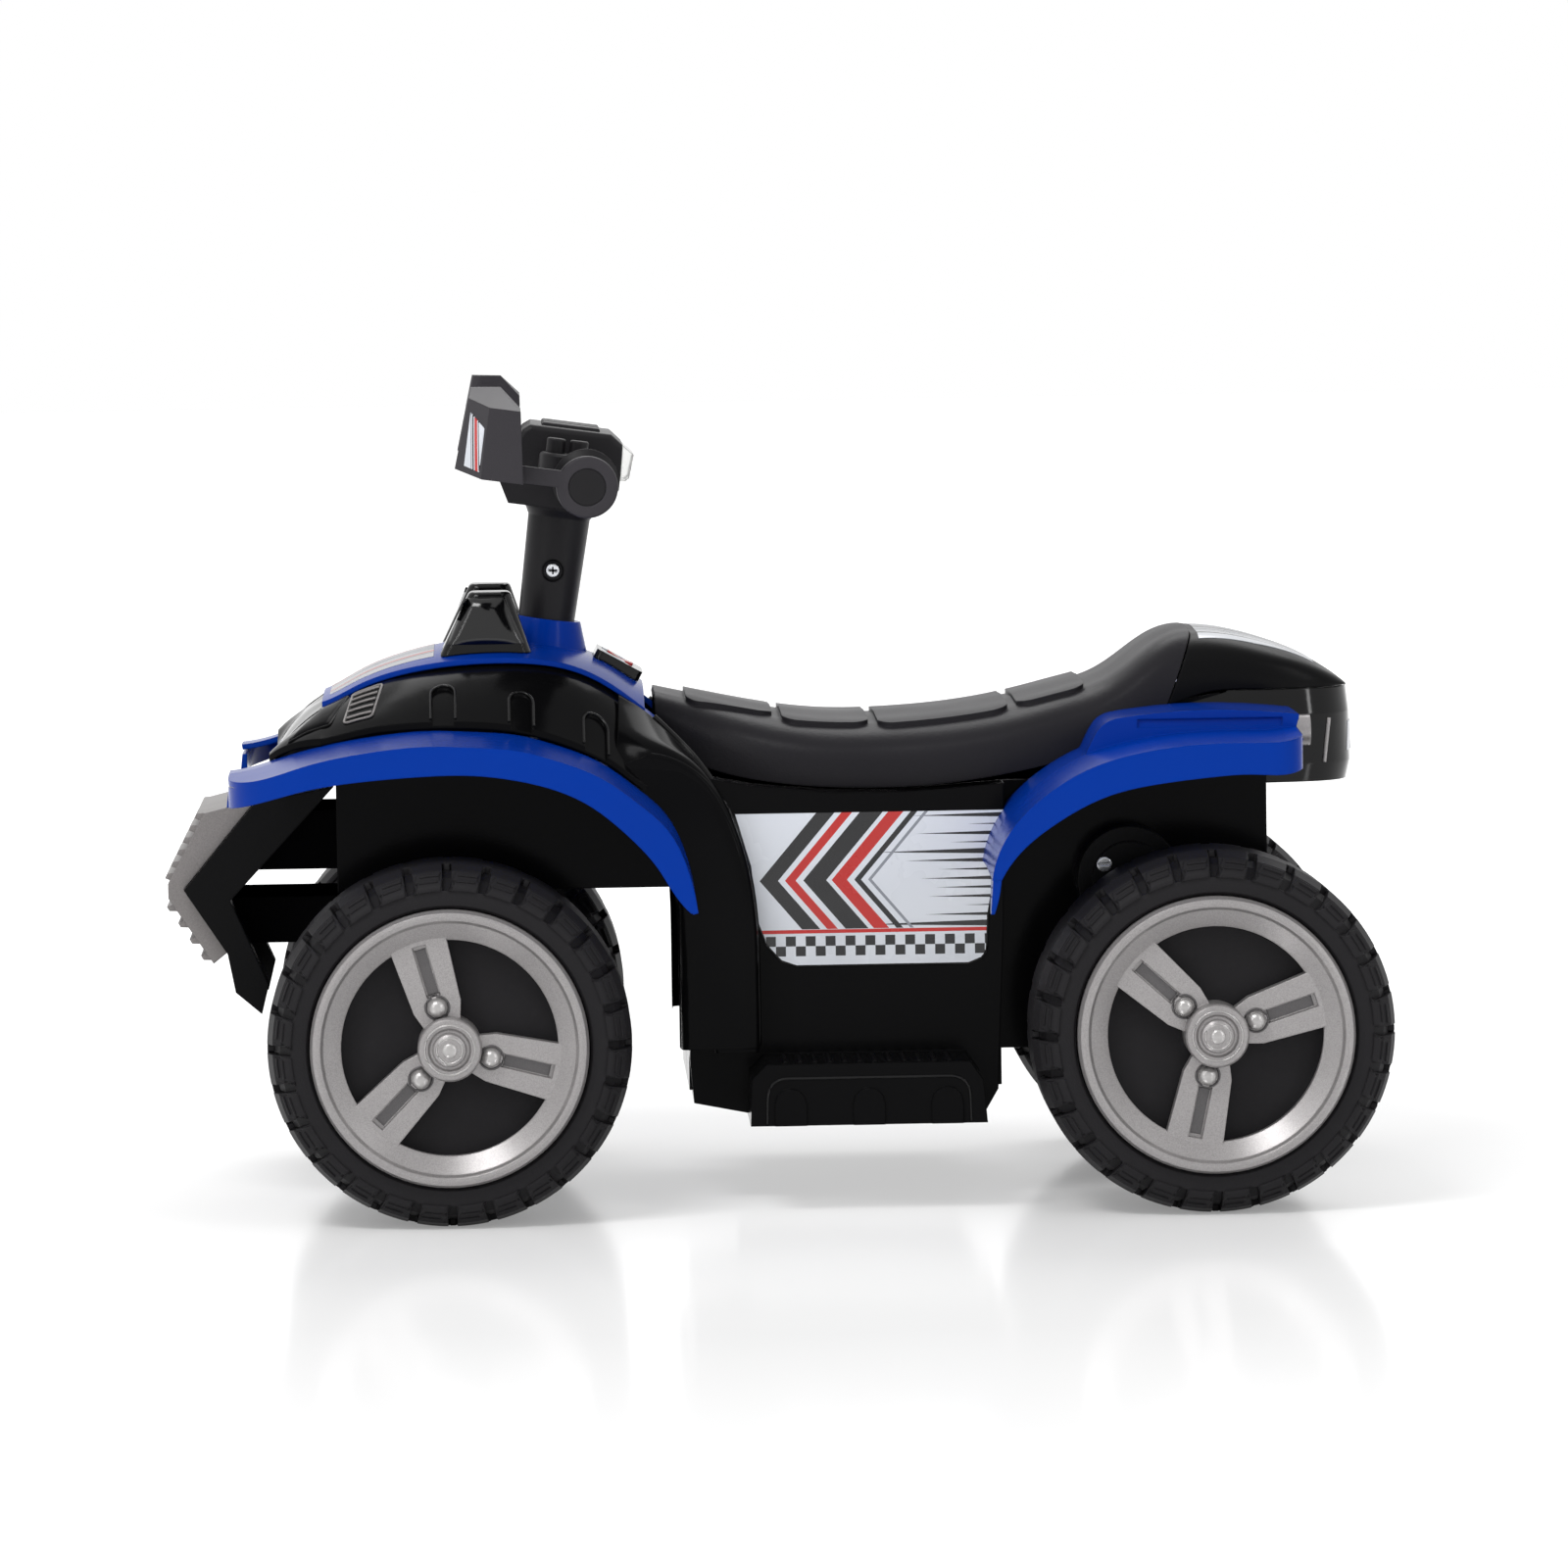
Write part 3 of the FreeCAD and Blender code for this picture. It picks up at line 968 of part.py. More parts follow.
def make_rear_fenders():
    """Two-tier rear fenders, cut back to clear the seat and the tub."""
    x0, z0 = size(REAR_X), size("Sizes.rear_fender_top")
    outer, tier_y = size("Sizes.rear_fender_outer"), size("Sizes.tier_outer")
    wall, seam, lift = size("Sizes.wall"), size("Sizes.seam"), 3
    tub = size("Sizes.tub_half_width")
    rim = shifted(REAR_FENDER, x0, z0)
    roof = shelf(rim, wall, [(-outer, 0), (-tier_y, lift), (-tub - seam, lift)])
    roof = roof.cut(block((x0 - 40, x0 + 90), (-tier_y + wall, 0), (150, 300)))
    end, turn = rim[-1][0], 16
    skirt = fin(offset_points(rim, wall / 2), shifted(REAR_SKIRT, x0, z0), -outer, -tier_y)
    hollow = block((100, end - wall), (-outer + wall, 0), (100, 320))
    lip = skirt.cut(hollow.cut(outside_corner(end, -outer, turn, wall, -1)))
    crest = shifted(TIER, x0, z0)
    deck = shelf(crest, wall, [(-tier_y, 0), (-size("Sizes.tail_half_width") - 3, 0)])
    sill = [(x, z + lift) for x, z in offset_points(rim, wall / 2) if x > x0 - 68]
    riser = fin(offset_points(crest, wall / 2), sill[::-1], -tier_y, -tier_y + wall)
    top = size("Sizes.tub_top") + seam
    tab = block((214, 247), (-tub, -tub + wall), (top, size("Sizes.rear_fender_top") + 12))
    dent = block((x0 - 36, x0 + 42), (-tier_y - 1, -tier_y + 1.2), (z0 + 5, z0 + 9.5))
    fender = roof.fuse([lip, deck, riser, tab]).cut([dent, outside_corner(end, -outer, turn, 0, -1)])
    belly = size("Sizes.belly_half_width") + seam
    fender = fender.cut(seat_plan(0.6))
    fender = fender.cut(block((60, size("Sizes.belly_rear") + 2 + seam), (-belly, 0), (100, 240)))
    fender = max(fender.Solids, key=lambda solid: solid.Volume)
    moulding("rear_fender_left", fender)
    moulding("rear_fender_right", mirrored(fender))


def make_seat_and_tail():
    """Padded seat, the tail cover behind it, the lower tail panel and the exhaust tips."""
    wall, seam = size("Sizes.wall"), size("Sizes.seam")
    top = skin(crosswise(SEAT))
    behind = plate([(216, 262), (208, 240), (300, 240), (300, 330), (242, 330)], -100, 100)
    seat = thick(top, wall)
    pads = thick(top, -size("Sizes.pad_height"))
    panels = [block((-44, 3), (-45, 45), (200, 320)), block((8, 55), (-59, 59), (200, 320)),
              block((60, 131), (-63, 63), (200, 320)), block((136, 173), (-59, 59), (200, 320))]
    for panel in panels:
        upright = [e for e in panel.Edges if abs(e.Vertexes[0].Z - e.Vertexes[1].Z) > 50]
        seat = seat.fuse(pads.common(panel.makeFillet(9, upright)))
    moulding("seat", seat.cut(behind))

    inner = [(x - 4 * (x > 300), half - wall, low - 2, high - wall) for x, half, low, high in TAIL]
    cover = vault(TAIL).cut(vault(inner))
    moulding("tail_cover", cover.cut(plate([(216.5, 262), (190, 262), (190, 330), (243, 330)], -100,
                                           100)).common(
        block((200, 330), (-100, 100), (262.2, 330))))

    def ring(z, grow):
        right = [(x + grow * (x - 214) / 107, y + grow) for x, y in TAIL_PLAN]
        row = [(x, -y, z) for x, y in right] + [(x, y, z) for x, y in reversed(right[:-1])]
        return Part.Wire([curve(row), Part.makeLine(row[-1], row[0])])

    def hollow(levels, inset):
        return Part.makeLoft([ring(z, grow - inset) for z, grow in levels], True, True)
    level, floor = size("Sizes.tail_seam") - seam, size("Sizes.tail_floor")
    outside = hollow([(level, -1.5), (level - 14, 0), (floor + 10, 0.5), (floor, -1.5)], 0)
    inside = hollow([(level + 2, -1.5), (level - 14, 0), (floor + 10, 0.5), (floor + wall, 0)], wall)
    panel = outside.cut(inside)
    panel = panel.cut(block((200, size("Sizes.tub_rear") + seam), (-90, 90),
                            (200, size("Sizes.tub_top") + seam)))
    panel = panel.cut(plate([(190, 200), (222, 200), (222, 263.5), (250, 271.2), (250, 300), (190, 300)],
                            -90, 90))
    dent = block((244, 296), (-90, -size("Sizes.tail_half_width") + 1.6), (floor + 14, floor + 36))
    panel = panel.cut(Part.makeCompound(pair(dent)))
    moulding("tail_panel", panel)

    radius = size("Sizes.exhaust_radius")
    at = -size("Sizes.tail_half_width") - radius - 0.9
    tip = Part.makeCylinder(radius, 44, Vector(250, at, 250.5), Vector(1, 0, 0))
    tip = tip.fuse(block((252, 262), (at + radius - 3, -size("Sizes.tail_half_width") + 1.5), (246, 255)))
    tip = tip.cut(Part.makeCylinder(radius - 2, 20, Vector(276, at, 250.5), Vector(1, 0, 0)))
    moulding("exhaust_tips", Part.makeCompound(pair(tip)))


def make_bumper():
    """Chevron guard, the ridged plate on it and the two box beams that carry it."""
    guard = new_body("front_bumper")
    nose, waist = "Sizes.bumper_nose", "Sizes.bumper_waist"
    slab(guard, [(f"{nose} + 95", f"{waist} + 57"), (f"{nose} + 53", f"{waist} + 50"),
                 (f"{nose} + 13", f"{waist} + 2"),
                 (f"{nose} + 36", f"{waist} - 33"), (f"{nose} + 40", f"{waist} - 54"),
                 (f"{nose} + 54", f"{waist} - 66"),
                 (f"{nose} + 58", f"{waist} - 50"), (f"{nose} + 38", f"{waist} - 4")],
                 "2 * Sizes.bumper_half_width")
    hollow = slab(guard, [(f"{nose} + 100", f"{waist} + 53"), (f"{nose} + 58", f"{waist} + 47"),
                          (f"{nose} + 20", f"{waist} + 1"),
                          (f"{nose} + 42", f"{waist} - 32"), (f"{nose} + 47", f"{waist} - 70"),
                          (f"{nose} + 70", f"{waist} - 60"),
                          (f"{nose} + 70", waist)], "2 * (Sizes.bumper_half_width - 14)", "Pocket")
    guard.Tip = hollow
    grille = new_body("bumper_grille")
    slab(grille, [(f"{nose} + 24", f"{waist} + 43"), (f"{nose} + 4", f"{waist} + 5"),
                  (f"{nose} + 4", f"{waist} - 3"),
                  (f"{nose} + 28", f"{waist} - 39"), (f"{nose} + 35.6", f"{waist} - 33"),
                  (f"{nose} + 12.6", f"{waist} + 2"),
                  (f"{nose} + 52.6", f"{waist} + 50")], "2 * Sizes.plate_half_width")
    last = None
    for step in range(6):
        along = f"({step} + 0.35) / 6"
        last = slab(grille, [(f"{nose} + 5 + 20 * {along}", f"{waist} + 4 + 39 * {along}"),
                             (f"{nose} + 1.2 + 20 * {along}", f"{waist} + 5.6 + 39 * {along}"),
                             (f"{nose} + 2.4 + 20 * {along}", f"{waist} + 8 + 39 * {along}"),
                             (f"{nose} + 7.5 + 20 * {along}", f"{waist} + 8.5 + 39 * {along}")],
                    "2 * Sizes.plate_half_width - 6")
    for step in range(4):
        along = f"({step} + 0.3) / 4"
        last = slab(grille, [(f"{nose} + 6 + 24 * {along}", f"{waist} - 3.5 - 36 * {along}"),
                             (f"{nose} + 1.2 + 24 * {along}", f"{waist} - 5 - 36 * {along}"),
                             (f"{nose} + 2.6 + 24 * {along}", f"{waist} - 7.4 - 36 * {along}"),
                             (f"{nose} + 8.5 + 24 * {along}", f"{waist} - 7.6 - 36 * {along}")],
                    "2 * Sizes.plate_half_width - 6")
    grille.Tip = last
    half = "Sizes.beam_half_width"
    upper = box((f"{nose} + 36", "Sizes.tub_front"), (f"-{half}", half), (f"{waist} + 10", f"{waist} + 42"))
    lower = box((f"{nose} + 34", "Sizes.front_axle_x - Sizes.beam_width / 2"), (f"-{half}", half),
                (f"{waist} - 30", f"{waist} - 5"))
    wedge = slab_block([(f"{nose} + 90", f"{waist} + 80"), (f"{nose} + 58", f"{waist} + 47"),
                        (f"{nose} + 20", f"{waist} + 1"),
                        (f"{nose} + 42", f"{waist} - 32"), (f"{nose} - 20", f"{waist} - 32"),
                        (f"{nose} - 20", f"{waist} + 80")])
    keep(less(joined(upper, lower), wedge), "bumper_beams")


def slab_block(corners):
    """Wide loose prism used to trim other pieces."""
    body = doc.addObject("PartDesign::Body", "trim")
    slab(body, corners, "200")
    return body


# Handlebar


def raked(label, shape):
    """A free-form piece drawn in the handlebar's own frame."""
    made = moulding(label, shape)
    made.Placement = steering_frame()
    return made


def make_handlebar():
    """Head shells, bar, grips, hand guards, meter and the two sprung buttons."""
    back, height = size("Sizes.bar_set_back"), size("Sizes.bar_height")
    half, wall = size("Sizes.head_half_width"), size("Sizes.shell_wall")
    front, rear = -size("Sizes.head_front"), size("Sizes.head_back")
    floor, top = size("Sizes.head_floor"), size("Sizes.head_top")
    radius = size("Sizes.bar_radius")
    start, end = size("Sizes.grip_inner"), size("Sizes.grip_outer")

    def bar(r, y_from, y_to):
        return Part.makeCylinder(r, y_to - y_from, Vector(back, y_from, height), Vector(0, 1, 0))
    split = height - 0.2
    bowl = plate([(front - 7, split), (front - 7, floor + 11), (front - 1, floor), (4, floor),
                  (rear - 2, floor + 8),
                  (rear + 6, floor + 14), (rear + 6, split)], -half, half)
    scoop = plate([(front - 4, split + 5), (front - 4, floor + 12), (front + 1, floor + wall),
                   (4, floor + wall),
                   (rear - 2, floor + 11), (rear + 3, floor + 16), (rear + 3, split + 5)], -half + wall,
                   half - wall)
    tubes = [bar(radius, half - wall, start), bar(radius, -start, -half + wall),
             bar(10, start - 1, end + 6),
             bar(10, -end - 6, -start + 1)]
    pod_x, pod_y = back - 12, -size("Sizes.button_y")
    pod = Part.makeCylinder(14.5, 15, Vector(pod_x, pod_y, height - 2))
    pod = pod.makeFillet(2, [pod.Edges[0]])
    socket = Part.makeCylinder(size("Sizes.rod_radius") + 0.1, 40, Vector(0, 0, floor - 5))
    pitch, key = size("Sizes.button_pitch") / 2, size("Sizes.button_radius")
    wells = [Part.makeCylinder(key + size("Sizes.button_gap"), 20,
                               Vector(pod_x + s * pitch, pod_y, height + 4)) for s in (-1, 1)]
    post = Part.makeCylinder(9, 8, Vector(0, 0, floor + 1))
    lower = bowl.cut(scoop).fuse([*tubes, pod, post]).cut(Part.makeCompound([socket, *wells]))
    raked("bar_lower_shell", lower.removeSplitter())

    hood = plate([(front - 7, height), (front - 4, top - 16), (front + 2, top - 3), (front + 6, top),
                  (rear - 2, top),
                  (rear + 5, top - 5), (rear + 6, height)], -half, half)
    edges = [e for e in hood.Edges if abs(e.Vertexes[0].Y) > half - 1
             and abs(e.Vertexes[1].Y - e.Vertexes[0].Y) < 0.1 and min(v.Z for v in e.Vertexes) > height + 8]
    hood = hood.makeFillet(3, edges)
    cave = plate([(front - 4, height - 5), (front - 1, top - 16), (front + 5, top - wall - 2),
                  (front + 8, top - wall),
                  (rear - 3, top - wall), (rear + 2, top - 7), (rear + 3, height - 5)], -half + wall,
                  half - wall)
    bumps = []
    for y in (-26, 0, 26):
        bump = block((front + 12, rear - 8), (y - 8, y + 8), (top - 1, top + 1.8))
        bumps.append(bump.makeFillet(1.5,
                                     [e for e in bump.Edges if min(v.Z for v in e.Vertexes) > top + 1]))
    upper = hood.cut(cave).fuse(bumps).cut(bar(radius + 0.2, -half - 5, half + 5))
    raked("bar_upper_shell", upper.removeSplitter())

    lens = plate([(rear + 6.2, height + 1), (rear + 5.2, top - 5.4), (rear + 9, top - 8),
                  (rear + 12, height + 16),
                  (rear + 11, height + 3), (rear + 9, height + 1)], -half + 12, half - 12)
    raked("meter_lens", lens)

    for name, sign in (("horn_button", -1), ("music_button", 1)):
        cap = Part.makeCylinder(key, 14, Vector(pod_x + sign * pitch, pod_y, height + 7))
        cap = cap.makeFillet(1.2,
                             [max(cap.Edges,
                                  key=lambda e: e.BoundBox.ZMin if e.BoundBox.ZLength < 1e-3 else -1e9)])
        raked(name, cap)

    for name, side in (("left", LEFT), ("right", RIGHT)):
        make_grip(f"grip_{name}", side, end - start)
        make_guard(f"handguard_{name}", side)


def make_grip(label, side, length):
    """Ribbed sleeve with an inner flange."""
    body = new_body(label)
    r = "Sizes.grip_radius"
    corners = [("10.08", "0.3"), (f"{r} + 4", "0.3"), (f"{r} + 4", "3"), (r, "5")]
    for i in range(7):
        z = 9 + i * 7
        corners += [(r, f"{z}"), (f"{r} - 1.2", f"{z} + 0.8"), (f"{r} - 1.2", f"{z} + 2.4"),
                    (r, f"{z} + 3.2")]
    corners += [(r, "Sizes.grip_outer - Sizes.grip_inner"),
                ("10.08", "Sizes.grip_outer - Sizes.grip_inner")]
    turned(body, corners)
    spot = Vector(size("Sizes.bar_set_back"), side * size("Sizes.grip_inner"), size("Sizes.bar_height"))
    body.Placement = steering_frame().multiply(Placement(spot, OUTWARD[side]))


def make_guard(label, side):
    """Cup-shaped hand guard, open towards the hand, on an arm from the bar end."""
    back, height = size("Sizes.bar_set_back"), size("Sizes.bar_height")
    inner, outer = size("Sizes.guard_inner"), size("Sizes.guard_outer")
    foot, top = size("Sizes.guard_foot"), size("Sizes.guard_top")
    gap, depth, wall = size("Sizes.guard_gap"), size("Sizes.guard_depth"), size("Sizes.shell_wall")
    face, lip = back - gap - depth, back - gap
    cup = plate([(face - 3, foot + 3), (face, top - 1), (face + 16, top + 1), (lip - 6, top - 9),
                 (lip, foot), (face + 12, foot)],
                -outer, -inner)
    cup = cup.makeFillet(6, [e for e in cup.Edges if abs(e.Vertexes[0].Y - e.Vertexes[1].Y) < 0.1 and
                             min(e.Vertexes[0].X,
                                 e.Vertexes[1].X) < face + 1 and abs(e.Vertexes[0].Z - e.Vertexes[1].Z) > 20])
    hollow = plate([(face + 1, foot + 6), (face + 4, top - 5), (face + 15, top - 3), (lip - 9, top - 12),
                    (lip + 6, foot + 40),
                    (lip + 6, foot + 4), (face + 12, foot + 4)], -outer + wall, -inner - 0.5)
    slant = [Vector(face - 9, -outer - 1, 0), Vector(face + 12, -outer - 1, 0),
             Vector(face - 9, -outer + 34, 0)]
    slant = Part.Face(Part.makePolygon(slant + slant[:1])).extrude(Vector(0, 0, 300))
    slope = [Vector(0, -inner + 1, top + 2), Vector(0, -outer - 1, top - 9),
             Vector(0, -outer - 1, top + 30),
             Vector(0, -inner + 1, top + 30)]
    slope = Part.Face(Part.makePolygon(slope + slope[:1])).translated(Vector(-100, 0, 0))
    slope = slope.extrude(Vector(200, 0, 0))
    cup = cup.cut([slant, slope])
    hollow = hollow.cut([slant.translated(Vector(wall, wall, 0)), slope.translated(Vector(0, 0, -wall))])
    end = size("Sizes.grip_outer") + 0.3
    disc = Part.makeCylinder(size("Sizes.grip_cap_radius"), 6, Vector(back, -end, height), Vector(0, -1, 0))
    disc = disc.makeFillet(1.5,
                           [min(disc.Edges,
                                key=lambda e: e.BoundBox.YMax if e.BoundBox.YLength < 1e-3 else 1e9)])
    arm = block((face + 10, back - 3), (-end - 6, -end), (foot, height + 7))
    stub = Part.makeCylinder(10.05, 20, Vector(back, -end + 10, height), Vector(0, -1, 0))
    guard = cup.cut(hollow).fuse([disc, arm]).cut(stub).removeSplitter()
    raked(label, guard if side == LEFT else mirrored(guard))


# Inside the tub and on the footboard


def make_loose_pieces():
    """Battery with its strap, and the throttle pedal."""
    floor = "(Sizes.belly_floor + 15)"
    x0 = "10"
    x1 = f"{x0} + Sizes.battery_length"
    y1 = "Sizes.battery_width / 2"
    case = box((x0, x1), (f"-{y1}", y1), (floor, f"{floor} + Sizes.battery_height - 5"))
    tabs = [box((f"{x0} + {a}", f"{x0} + {a} + 5"), ("-3", "3"),
                (f"{floor} + 90", f"{floor} + Sizes.battery_height"))
            for a in (10, 55)]
    keep(joined(case, *tabs), "battery")
    top = f"({floor} + Sizes.battery_height - 5)"
    strap = box((f"{x0} + 25", f"{x0} + 45"), (f"-{y1} - 4", f"{y1} + 4"), (top, f"{top} + 2.5"))
    legs = [box((f"{x0} + 25", f"{x0} + 45"), (f"{s} * ({y1} + 2.5) - 1.5", f"{s} * ({y1} + 2.5) + 1.5"),
                (floor, top))
            for s in (LEFT, RIGHT)]
    feet = [box((f"{x0} + 25", f"{x0} + 45"), (f"{s} * ({y1} + 8) - 7", f"{s} * ({y1} + 8) + 7"),
                (floor, f"{floor} + 3"))
            for s in (LEFT, RIGHT)]
    keep(joined(strap, *legs, *feet), "battery_strap")

    pedal = new_body("foot_pedal")
    hinge_x, hinge_z = "(Sizes.board_rear - 26)", "(Sizes.board_top + 5)"
    length, rise = "Sizes.pedal_length", "11"
    near = "(Sizes.board_outer - 42.5)"
    sole = sketch_on(pedal, "XZ_Plane", f"-({near} + Sizes.pedal_width)")
    polygon(sole, [(hinge_x, f"{hinge_z} - 2"), (f"{hinge_x} + 3", hinge_z),
                   (f"{hinge_x} + 1", f"{hinge_z} + 3"),
                   (f"{hinge_x} - {length}", f"{hinge_z} + {rise} + 2"),
                   (f"{hinge_x} - {length} - 2", f"{hinge_z} + {rise}"),
                   (f"{hinge_x} - {length}", f"{hinge_z} + {rise} - 2")])
    feature(pedal, "Pad", sole, Length="Sizes.pedal_width")
    axis = sketch_on(pedal, "XZ_Plane", "-(Sizes.board_outer - 3.2)")
    circle(axis, hinge_x, hinge_z, "2")
    spindle = feature(pedal, "Pad", axis, Length="43.6")
    ribs = []
    for step in range(5):
        rib = sketch_on(pedal, "XZ_Plane", f"-({near} + Sizes.pedal_width - 4)")
        at = f"({hinge_x} - 10 - {step * 11})"
        up = f"({hinge_z} + 2.5 + {(10 + step * 11) / 66 * 11:.2f})"
        polygon(rib, [(at, f"{up} - 2"), (f"{at} - 1", f"{up} + 1.6"), (f"{at} - 4", f"{up} + 2.1"),
                      (f"{at} - 5", f"{up} - 2")])
        ribs.append(feature(pedal, "Pad", rib, Length="Sizes.pedal_width - 8"))
    pedal.Tip = ribs[-1]
    return spindle


def build():
    make_wheels()
    make_axle_beam()
    for name, side in (("left", LEFT), ("right", RIGHT)):
        make_knuckle(name, side)
    make_tie_rod()
    make_column()
    axle, motor = make_drive()
    make_tub(axle, motor)
    make_cowl_and_hood()
    make_front_fenders()
    make_rear_fenders()
    make_seat_and_tail()
    make_bumper()
    make_handlebar()
    make_loose_pieces()


def check_and_export():
    """Stops on any object that failed, then writes one file per piece."""
    doc.recompute()
    for thing in doc.Objects:
        if "Invalid" in thing.State or "Error" in thing.State:
            raise RuntimeError(f"{thing.Label} failed: {thing.getStatusString()}")
    os.makedirs("parts", exist_ok=True)
    unsound = [p.Label for p in parts if p.Shape.isNull() or not p.Shape.isValid()]
    if unsound:
        raise RuntimeError(f"no sound shape: {unsound}")
    for piece in parts:
        piece.Shape.exportStep(f"parts/{piece.Label}.step")


build()
check_and_export()
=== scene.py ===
"""Looks of a toddler's ride-on quad bike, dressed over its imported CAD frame.

The bike stands on the ground with its front towards -X, its left side towards -Y and +Z up. Every length
is in metres.
"""
from __future__ import annotations

import logging
import math
from dataclasses import dataclass, field
from enum import Enum

import bmesh
import bpy
import numpy as np
from mathutils import Matrix, Vector


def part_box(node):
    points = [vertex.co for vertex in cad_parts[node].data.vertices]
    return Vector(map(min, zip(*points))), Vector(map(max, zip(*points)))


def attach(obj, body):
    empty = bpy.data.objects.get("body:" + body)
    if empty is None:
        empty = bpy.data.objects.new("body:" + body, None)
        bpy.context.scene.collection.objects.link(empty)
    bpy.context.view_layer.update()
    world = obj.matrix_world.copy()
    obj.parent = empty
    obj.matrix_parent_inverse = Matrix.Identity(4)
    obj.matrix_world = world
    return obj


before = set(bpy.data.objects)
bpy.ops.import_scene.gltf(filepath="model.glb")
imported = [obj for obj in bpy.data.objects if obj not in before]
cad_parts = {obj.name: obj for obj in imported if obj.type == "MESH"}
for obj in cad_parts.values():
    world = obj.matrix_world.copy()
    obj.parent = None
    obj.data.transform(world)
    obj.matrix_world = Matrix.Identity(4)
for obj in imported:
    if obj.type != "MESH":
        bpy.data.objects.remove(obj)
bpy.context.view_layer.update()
LOG = logging.getLogger("quad_bike")
Colour = tuple[float, float, float]
Place = tuple[float, float, float]
Pair = tuple[float, float]
Corners = tuple[Pair, ...]
Array = np.ndarray
Socket = bpy.types.NodeSocket
CHASSIS = "chassis"
STEERING = "steering"
WHEEL_RADIUS = 0.097
HALF_TRACK = 0.15
AXLE_X = {"front": -0.175, "rear": 0.232}
FILM = (0.0003, -0.0002)


class Side(Enum):
    """The two sides of the bike, as the sign of Y."""

    LEFT = -1
    RIGHT = 1

    @property
    def label(self) -> str:
        """The side's name as it stands in the names of pieces."""
        return self.name.lower()

    @property
    def mirror(self) -> Array:
        """Factors that move a place on the right side to this side."""
        return np.array([1, self.value, 1])


class Axis(Enum):
    """The three directions of the frame, as the place of the coordinate."""

    X = 0
    Y = 1
    Z = 2


def linear(red: int, green: int, blue: int) -> Colour:
    """Screen colour from 0 to 255 turned into linear light.

    Args:
        red: red part.
        green: green part.
        blue: blue part.

    Returns:
        The linear colour.
    """
    parts = np.array((red, green, blue)) / 255
    return tuple(np.where(parts <= 0.04045, parts / 12.92, ((parts + 0.055) / 1.055) ** 2.4))


class Nodes:
    """Short way to add and join shader nodes of one material."""

    def __init__(self, name: str) -> None:
        """Makes a material with an empty tree.

        Args:
            name: the material's name.
        """
        self.made = bpy.data.materials.new(name)
        self.made.use_nodes = True
        self.tree = self.made.node_tree
        self.tree.nodes.clear()

    def add(self, kind: str, inputs: dict | None = None, **settings: object) -> bpy.types.Node:
        """Adds a node.

        Args:
            kind: node type without the ShaderNode prefix.
            inputs: socket name or index to a value, or to an output socket to link.
            settings: attributes of the node.

        Returns:
            The new node.
        """
        node = self.tree.nodes.new("ShaderNode" + kind)
        for name, value in settings.items():
            setattr(node, name, value)
        for name, value in (inputs or {}).items():
            if isinstance(value, Socket):
                self.tree.links.new(value, node.inputs[name])
            else:
                node.inputs[name].default_value = value
        return node

    def sum(self, kind: str, *values: object) -> Socket:
        """Adds a Math node.

        Args:
            kind: its operation.
            values: its numbers or sockets in order.

        Returns:
            The result.
        """
        return self.add("Math", dict(enumerate(values)), operation=kind).outputs[0]

    def blend(self, part: object, under: object, over: object) -> Socket:
        """Mixes two colours.

        Args:
            part: share of the upper colour, a number or a socket.
            under: colour or socket at share 0.
            over: colour or socket at share 1.

        Returns:
            The mixed colour.
        """
        pair = [c if isinstance(c, Socket) else (*c, 1) for c in (under, over)]
        return self.add("Mix", {"Factor": part, 6: pair[0], 7: pair[1]}, data_type="RGBA").outputs[2]

    def noise(self, where: Socket, scale: float, detail: float = 2.0) -> Socket:
        """Adds a noise pattern.

        Args:
            where: coordinates.
            scale: its fineness.
            detail: how many finer layers it has.

        Returns:
            The pattern's value from 0 to 1.
        """
        return self.add("TexNoise", {"Vector": where, "Scale": scale, "Detail": detail}).outputs["Fac"]

    def span(self, value: Socket, low: float, high: float, start: float, end: float) -> Socket:
        """Maps a range of a value, clamped, to another range.

        Args:
            value: the value.
            low: lower end of its range.
            high: upper end of its range.
            start: result at the lower end.
            end: result at the upper end.

        Returns:
            The mapped value.
        """
        inputs = {"Value": value, "From Min": low, "From Max": high, "To Min": start, "To Max": end}
        return self.add("MapRange", inputs).outputs[0]

    def close(self, **sockets: object) -> bpy.types.Material:
        """Ends the tree with the main shader.

        Args:
            sockets: the shader's sockets with _ for a space.

        Returns:
            The material.
        """
        inputs = {name.replace("_", " "): value for name, value in sockets.items()}
        shader = self.add("BsdfPrincipled", inputs)
        self.add("OutputMaterial", {"Surface": shader.outputs[0]})
        return self.made


